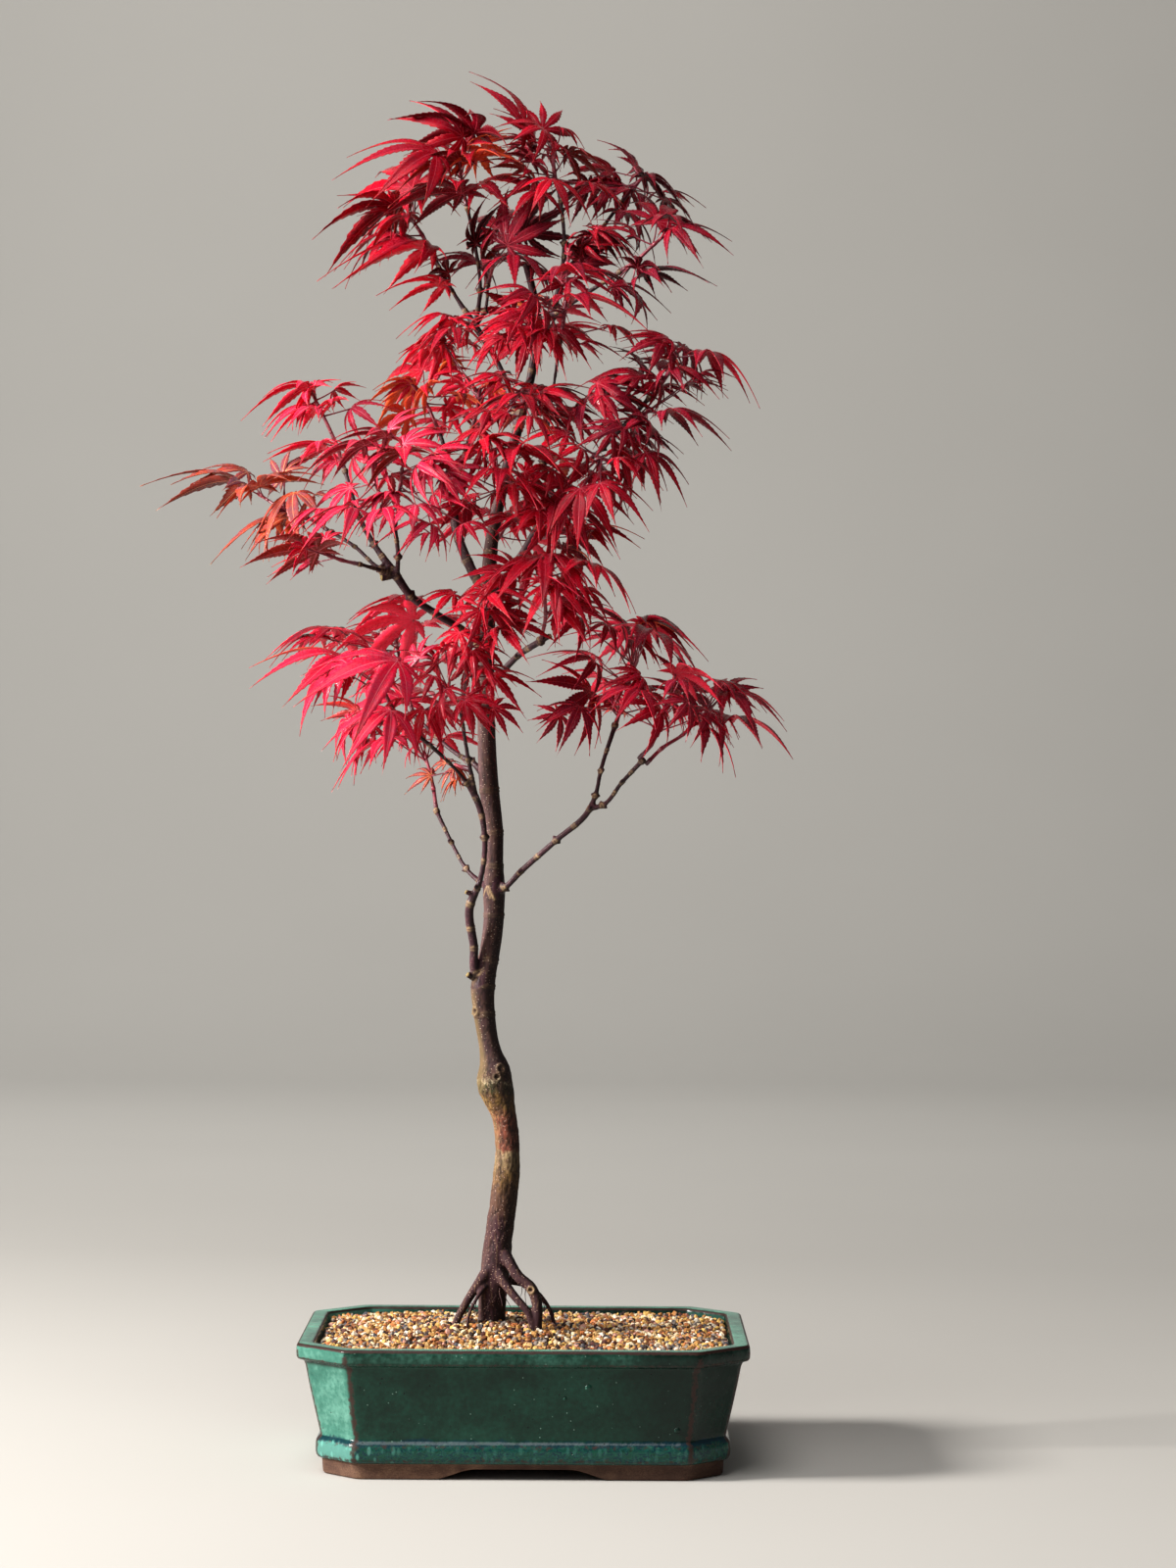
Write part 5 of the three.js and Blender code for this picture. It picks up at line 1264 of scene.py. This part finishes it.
def seeded(seed):
    # the same stream of numbers as the solids' leaves are set out with
    whole = 0xFFFFFFFF
    state = seed & whole

    def draw():
        nonlocal state
        state = (state + 0x6D2B79F5) & whole
        t = ((state ^ (state >> 15)) * (state | 1)) & whole
        t ^= (t + (((t ^ (t >> 7)) * (t | 61)) & whole)) & whole
        return ((t ^ (t >> 14)) & whole) / (whole + 1)
    return draw


def leafFrame(row, rand, scatter=1.0):
    # how one leaf lies: where it starts, its length and lobes, and the ways it points and faces
    base = Vector((row[1], row[2] + scatter * leafShape["startScatter"] * (rand() - 0.5), row[3]))
    tip = Vector((row[4], row[5] + scatter * leafShape["tipScatter"] * (rand() - 0.5), row[6]))
    roll = leafShape["rollSpread"] * (rand() - 0.5)
    cup = leafShape["leastCup"] + leafShape["cupSpread"] * rand()
    least, spread = leafShape["lobeScatter"]
    lengths = [share if share == 1 else share * (least + spread * rand()) for share in leafShape["lobeShares"]]
    forward = tip - base
    length = forward.length
    forward.normalize()
    outward = Vector((row[1] - leafShape["trunkX"], row[2], 0)).normalized()
    face = Vector((0, 0, 1)) + outward * leafShape["leanOut"]
    face = (face - forward * face.dot(forward)).normalized()
    face = Quaternion(forward, roll) @ face
    return {
        "base": base, "length": length, "lengths": lengths, "cup": cup, "side": face.cross(forward),
        "forward": forward * math.cos(cup) + face * math.sin(cup),
        "face": face * math.cos(cup) - forward * math.sin(cup),
    }


def bladePoint(leaf, u, v, lift):
    fall = math.sin(leaf["cup"]) * (u * u + v * v) / leaf["length"]
    level = math.cos(leaf["cup"])
    return leaf["base"] + leaf["forward"] * (u * level) + leaf["side"] * (v * level) + leaf["face"] * (lift - fall)


def halfWidthAt(q, start, neck, widest):
    # lanceolate, then drawn out to a thread
    if q < leafShape["widestAt"]:
        t = max(q - start, 0) / (leafShape["widestAt"] - start)
        return neck + (widest - neck) * math.sin(t * math.pi / 2) ** leafShape["neckCurve"]
    k = (q - leafShape["widestAt"]) / (1 - leafShape["widestAt"])
    fuller = 1 + leafShape["taperFull"] * math.sin(math.pi * min(k, 1))
    return widest * max(0.0, 1 - k) ** leafShape["taperCurve"] * fuller


def turnedBy(angle, x, y):
    return x * math.cos(angle) - y * math.sin(angle), x * math.sin(angle) + y * math.cos(angle)


def lobeSheet(leaf, index, tone, warmth, draw, finest):
    # one lobe: a grid drawn out along its rib, shared edges up to the notches, toothed beyond them
    angles = leafShape["lobeAngles"]
    angle = math.radians(angles[index])
    reach = leaf["lengths"][index] * leaf["length"]
    small = abs(angles[index]) > leafShape["smallFrom"]
    ends = []
    for step in (-1, 1):
        other = index + step
        if 0 <= other < len(angles):
            between = math.radians((angles[index] + angles[other]) / 2) - angle
            far = leafShape["notchShares"][min(index, other)] * leaf["length"]
            ends.append(Vector(turnedBy(between, far, 0)))
        else:
            back = -leafShape["back"] * leaf["length"]
            ends.append(Vector(turnedBy(-angle, back, step * leafShape["backHalf"])))
    start = leafShape["smallNeck"] * reach if small else leafShape["neck"] * leaf["length"]
    widest = leafShape["halfWidth"] * reach * draw.uniform(*leafShape["widthDraw"])
    widest *= leafShape["smallWiden"] if small else 1
    teeth = min(leafShape["mostTeeth"][finest], round((reach - start) / leafShape["toothLength"]))
    inner, outer = leafShape["neckRows"], leafShape["toothRows"] * max(leafShape["fewestTeeth"], teeth)
    rows = inner + outer
    bend = draw.uniform(-leafShape["bend"], leafShape["bend"]) * reach
    droop = draw.uniform(*leafShape["droop"]) * reach
    curl = draw.uniform(-leafShape["curl"], leafShape["curl"])
    fade = leafShape["notchFade"]
    bm = bmesh.new()
    blade, leafLayer = [bm.verts.layers.float_vector.new(name) for name in ("blade", "leaf")]
    bmesh.ops.create_grid(bm, x_segments=4 if finest and not small else 2, y_segments=rows, size=1)
    for vert in bm.verts:
        s, aside = vert.co.x, abs(vert.co.x)
        j = round((vert.co.y + 1) / 2 * rows)
        endX, endY = ends[0] if s < 0 else ends[1]
        if j <= inner:
            t = j / inner
            x = start * t + (endX - start) * t * aside if aside < 1 else endX * t
            half = abs(endY) * t
            y = half * s
            q = start * t / reach
        else:
            t = (j - inner) / outer
            q = (start + (reach - start) * t) / reach
            half = halfWidthAt(q, start / reach, abs(endY), widest)
            x = q * reach
            if t < fade:
                x += (endX - start) * aside * (1 - t / fade)
            y = half * s
            if aside == 1 and t < leafShape["toothedTo"]:
                tooth = 1 if (j - inner) % 2 else leafShape["toothGap"]
                y *= 1 + leafShape["toothDepth"] * tooth
                x += (leafShape["toothLean"] if tooth > 0 else 0) * (reach - start) / outer
            y += bend * (t * t)
        lift = leafShape["channel"] * half * aside ** leafShape["channelCurve"] * min(1, j / inner)
        lift = lift - droop * max(0, q - leafShape["droopFrom"]) ** 2
        lift += curl * half * s * q
        if j <= inner and aside == 1:
            lift = 0.0
        if aside == 0.5:
            lift += leafShape["pleat"] * half
        vert.co = bladePoint(leaf, *turnedBy(angle, x, y), lift)
        vert[blade] = (q * reach, aside * half, q)
        vert[leafLayer] = (tone, aside, warmth)
    return meshOf(bm)


def leafSheet(leaf, warm, glow, draw, finest):
    # painted light and painted shade: the shoot's offset lightens or darkens every leaf's tone
    tone = draw.uniform(-1, 1) + glow
    warmth = draw.uniform(*leafShape["warmth"]) if draw.random() < warm else 0.0
    bm = withLayers("float_vector", "blade", "leaf")
    joinInto(bm, [lobeSheet(leaf, index, tone, warmth, draw, finest) for index in range(len(leaf["lengths"]))])
    bmesh.ops.remove_doubles(bm, verts=bm.verts, dist=leafShape["merge"])
    return meshOf(bm)


def fillingRows(spray):
    # the smaller leaves between the main ones: each takes after a main leaf, turned about its stem point
    seed, count = spray["fill"]
    draw = random.Random(seed)
    deep, tipDeep = leafShape["fillDepth"], leafShape["fillTipDepth"]
    rows = []
    for k in range(count):
        row = spray["leaves"][k % len(spray["leaves"])]
        node = Vector(spray["stem"][row[0]])
        base, tip = Vector(row[1:4]), Vector(row[4:7])
        turn = Matrix.Rotation(draw.choice((-1, 1)) * draw.uniform(*leafShape["fillTurn"]), 3, "Z")
        start = node + turn @ (base - node) * draw.uniform(*leafShape["fillOut"])
        start = start + Vector((0, 0, draw.uniform(*leafShape["fillRise"])))
        end = start + turn @ (tip - base) * draw.uniform(*leafShape["fillSize"])
        start.y = min(max(start.y, -deep), deep)
        end.y = min(max(end.y, -tipDeep), tipDeep)
        rows.append((row[0], *start, *end))
    return rows


def stalkFoot(spray, rows, index, filling):
    # stalks of one stem point leave it one below the other
    start, pitch = leafShape["stalkStarts"][filling]
    at = rows[index][0]
    node = Vector(spray["stem"][at])
    below = (Vector(spray["stem"][at - 1]) - node).normalized()
    before = sum(1 for other in rows[:index] if other[0] == at)
    return node + below * leafShape["stalkSpacing"] * (pitch * before + start)


def stalkTube(foot, leaf, draw, filling):
    # a slender petiole, swollen where it leaves the stem and sagging very slightly
    end = bladePoint(leaf, 0, 0, -0.1)
    sag = Vector((0, 0, -leafShape["stalkSag"] * (end - foot).length))
    sway = leafShape["stalkSway"]
    aside = Vector((draw.uniform(-sway, sway), draw.uniform(-sway, sway), 0))
    points = [
        (*(foot.lerp(end, along) + sag * down + aside * out), leafShape["stalkRadius"] * size)
        for along, down, out, size in leafShape["stalk"]
    ]
    sides, spacing = leafShape["stalkForms"][filling]
    return tube(smoothPath(points, spacing), sides)


def stemTube(spray):
    # the shoot's own stem, with a ring of bud scales at its foot and a swelling at each pair of leaves
    taper = leafShape["stemTaper"]
    points = [(*p, leafShape["stemRadius"] * (1.0 - taper * i)) for i, p in enumerate(spray["stem"])]
    path = smoothPath(points, leafShape["stemSpacing"])
    knots = [Vector(p) for p in spray["stem"][1:]]
    share, reach = leafShape["leafSwell"]
    shaped = []
    for spot, girth in path:
        near = min((spot - knot).length for knot in knots)
        away = (spot - path[0][0]).length
        swell = share * bell(near, reach)
        for size, at, width in leafShape["footSwells"]:
            swell += size * bell(away - at, width)
        shaped.append((spot, girth * (1 + swell)))
    tip, girth = shaped[-1]
    onward = (tip - shaped[-2][0]).normalized()
    shaped += [(tip + onward * along, girth * size) for along, size in leafShape["stemEnd"]]
    return tube(shaped, leafShape["stemSides"])


def makeShoot(name, spray):
    rand = seeded(spray["seed"])
    draw = random.Random(spray["seed"] * 7 + len(name))
    warm, glow = spray["warm"], spray["glow"]
    sheets = withLayers("float_vector", "blade", "leaf")
    tubes = [stemTube(spray)]
    for filling, rows in enumerate((spray["leaves"], fillingRows(spray))):
        for index, row in enumerate(rows):
            if filling:
                leaf = leafFrame(row, random.Random(spray["fill"][0] * 31 + index).random, leafShape["fillScatter"])
            else:
                leaf = leafFrame(row, rand)
            finest = not filling and leaf["length"] > leafShape["finestFrom"] and leaf["base"].y < 0
            joinInto(sheets, [leafSheet(leaf, warm, glow, draw, finest)])
            tubes.append(stalkTube(stalkFoot(spray, rows, index, filling), leaf, draw, filling))
    inFrame(sheets)
    blades = pieceOf("blades", meshOf(sheets), leafMaterials[spray["look"]][:2])
    shell = blades.modifiers.new("shell", "SOLIDIFY")
    shell.thickness = leafShape["thickness"]
    shell.offset = -1
    shell.use_rim = True
    shell.material_offset = 1
    wood = bmesh.new()
    joinInto(wood, tubes)
    inFrame(wood)
    age = wood.verts.layers.float_vector.new("blade")
    foot = toFrame @ Vector(spray["stem"][0])
    for vert in wood.verts:
        vert[age] = (0, 0, min(1.0, (vert.co - foot).length / leafShape["ageReach"]))
    bm = melt(settle(blades))
    joinInto(bm, [meshOf(wood)], 2)
    for face in bm.faces:
        face.smooth = True
    shoot = pieceOf(name + "Shoot", meshOf(bm), leafMaterials[spray["look"]])
    return standFor(shoot, spray["look"] + "_leaf", name + "_shoot")


faces = sum(len(makeShoot(name, spray).data.polygons) for name, spray in sprays.items())
print("leafy shoots made:", len(sprays), "with", faces, "faces")

stageShape = {"floorSize": 11.0, "backWall": 4.4, "wallHigh": 6.0, "curve": 1.6, "curveSteps": 8}
# each lamp: power, size, place, aim and colour
lamps = {
    "keyLight": (132, 0.55, (-2.0, -0.52, 1.2), (0, 0, 0.42), (1.0, 0.97, 0.93)),
    "fillLight": (4.5, 1.6, (-0.7, -2.5, 1.3), (0, 0, 0.35), (1.0, 0.98, 0.96)),
    "topLight": (27, 1.2, (-0.4, -0.85, 2.1), (0, 0, 0.3), (1.0, 0.99, 0.97)),
    "wallLight": (56, 3.2, (-0.8, 1.9, 2.5), (-0.3, 6.5, 0.9), (1.0, 1.0, 0.98)),
}
air = {"colour": (0.92, 0.94, 0.95, 1), "strength": 0.12}
# the photograph's view: millimetres, with the focal length over the picture's rows
view = {"at": (34, -2235, 381), "focal": 4021, "rows": 1600, "roll": 0.3, "sensor": 36.0}

paper = newMaterial("stagePaper", Specular_IOR_Level=0.2)
finishMaterial(blend(speckle(coordinates("Object"), 1.2, 3.0), "b2afaa", "bab7b2"), 0.85)

bm = bmesh.new()
half, curve, bends = stageShape["floorSize"] / 2, stageShape["curve"], stageShape["curveSteps"]
bm.edges.new([bm.verts.new((-half, -half, 0)), bm.verts.new((half, -half, 0))])
steps = [(0, half + stageShape["backWall"] - curve, 0)]
for k in range(bends):
    a, b = math.pi / 2 * k / bends, math.pi / 2 * (k + 1) / bends
    steps.append((0, (math.sin(b) - math.sin(a)) * curve, (math.cos(a) - math.cos(b)) * curve))
steps.append((0, 0, stageShape["wallHigh"]))
rim = bm.edges[:]
for step in steps:
    out = bmesh.ops.extrude_edge_only(bm, edges=rim)["geom"]
    bmesh.ops.translate(bm, vec=step, verts=only(BMVert, out))
    rim = [edge for edge in only(BMEdge, out) if all(vert in out for vert in edge.verts)]
for face in bm.faces:
    face.smooth = True
bmesh.ops.recalc_face_normals(bm, faces=bm.faces)
floor = pieceOf("stageFloor", meshOf(bm), [paper])

for name, (energy, size, spot, aim, colour) in lamps.items():
    lamp = bpy.data.lights.new(name, "AREA")
    lamp.energy = energy
    lamp.size = size
    lamp.color = colour
    holder = bpy.data.objects.new(name, lamp)
    holder.location = spot
    holder.rotation_euler = (Vector(aim) - Vector(spot)).to_track_quat("-Z", "Y").to_euler()
    scene.collection.objects.link(holder)
world = bpy.data.worlds.new("studioAir")
world.use_nodes = True
world.node_tree.nodes["Background"].inputs["Color"].default_value = air["colour"]
world.node_tree.nodes["Background"].inputs["Strength"].default_value = air["strength"]
scene.world = world
scene.view_settings.view_transform = "Standard"

lens = bpy.data.cameras.new("photoCamera")
lens.sensor_fit = "VERTICAL"
lens.sensor_height = view["sensor"]
lens.lens = view["sensor"] * view["focal"] / view["rows"]
camera = bpy.data.objects.new("photoCamera", lens)
camera.location = toFrame @ Vector(view["at"])
roll = Matrix.Rotation(math.radians(view["roll"]), 3, "Z")
camera.rotation_euler = (Matrix.Rotation(math.pi / 2, 3, "X") @ roll).to_euler()
scene.collection.objects.link(camera)
scene.camera = camera
print("stage, lights and camera set")
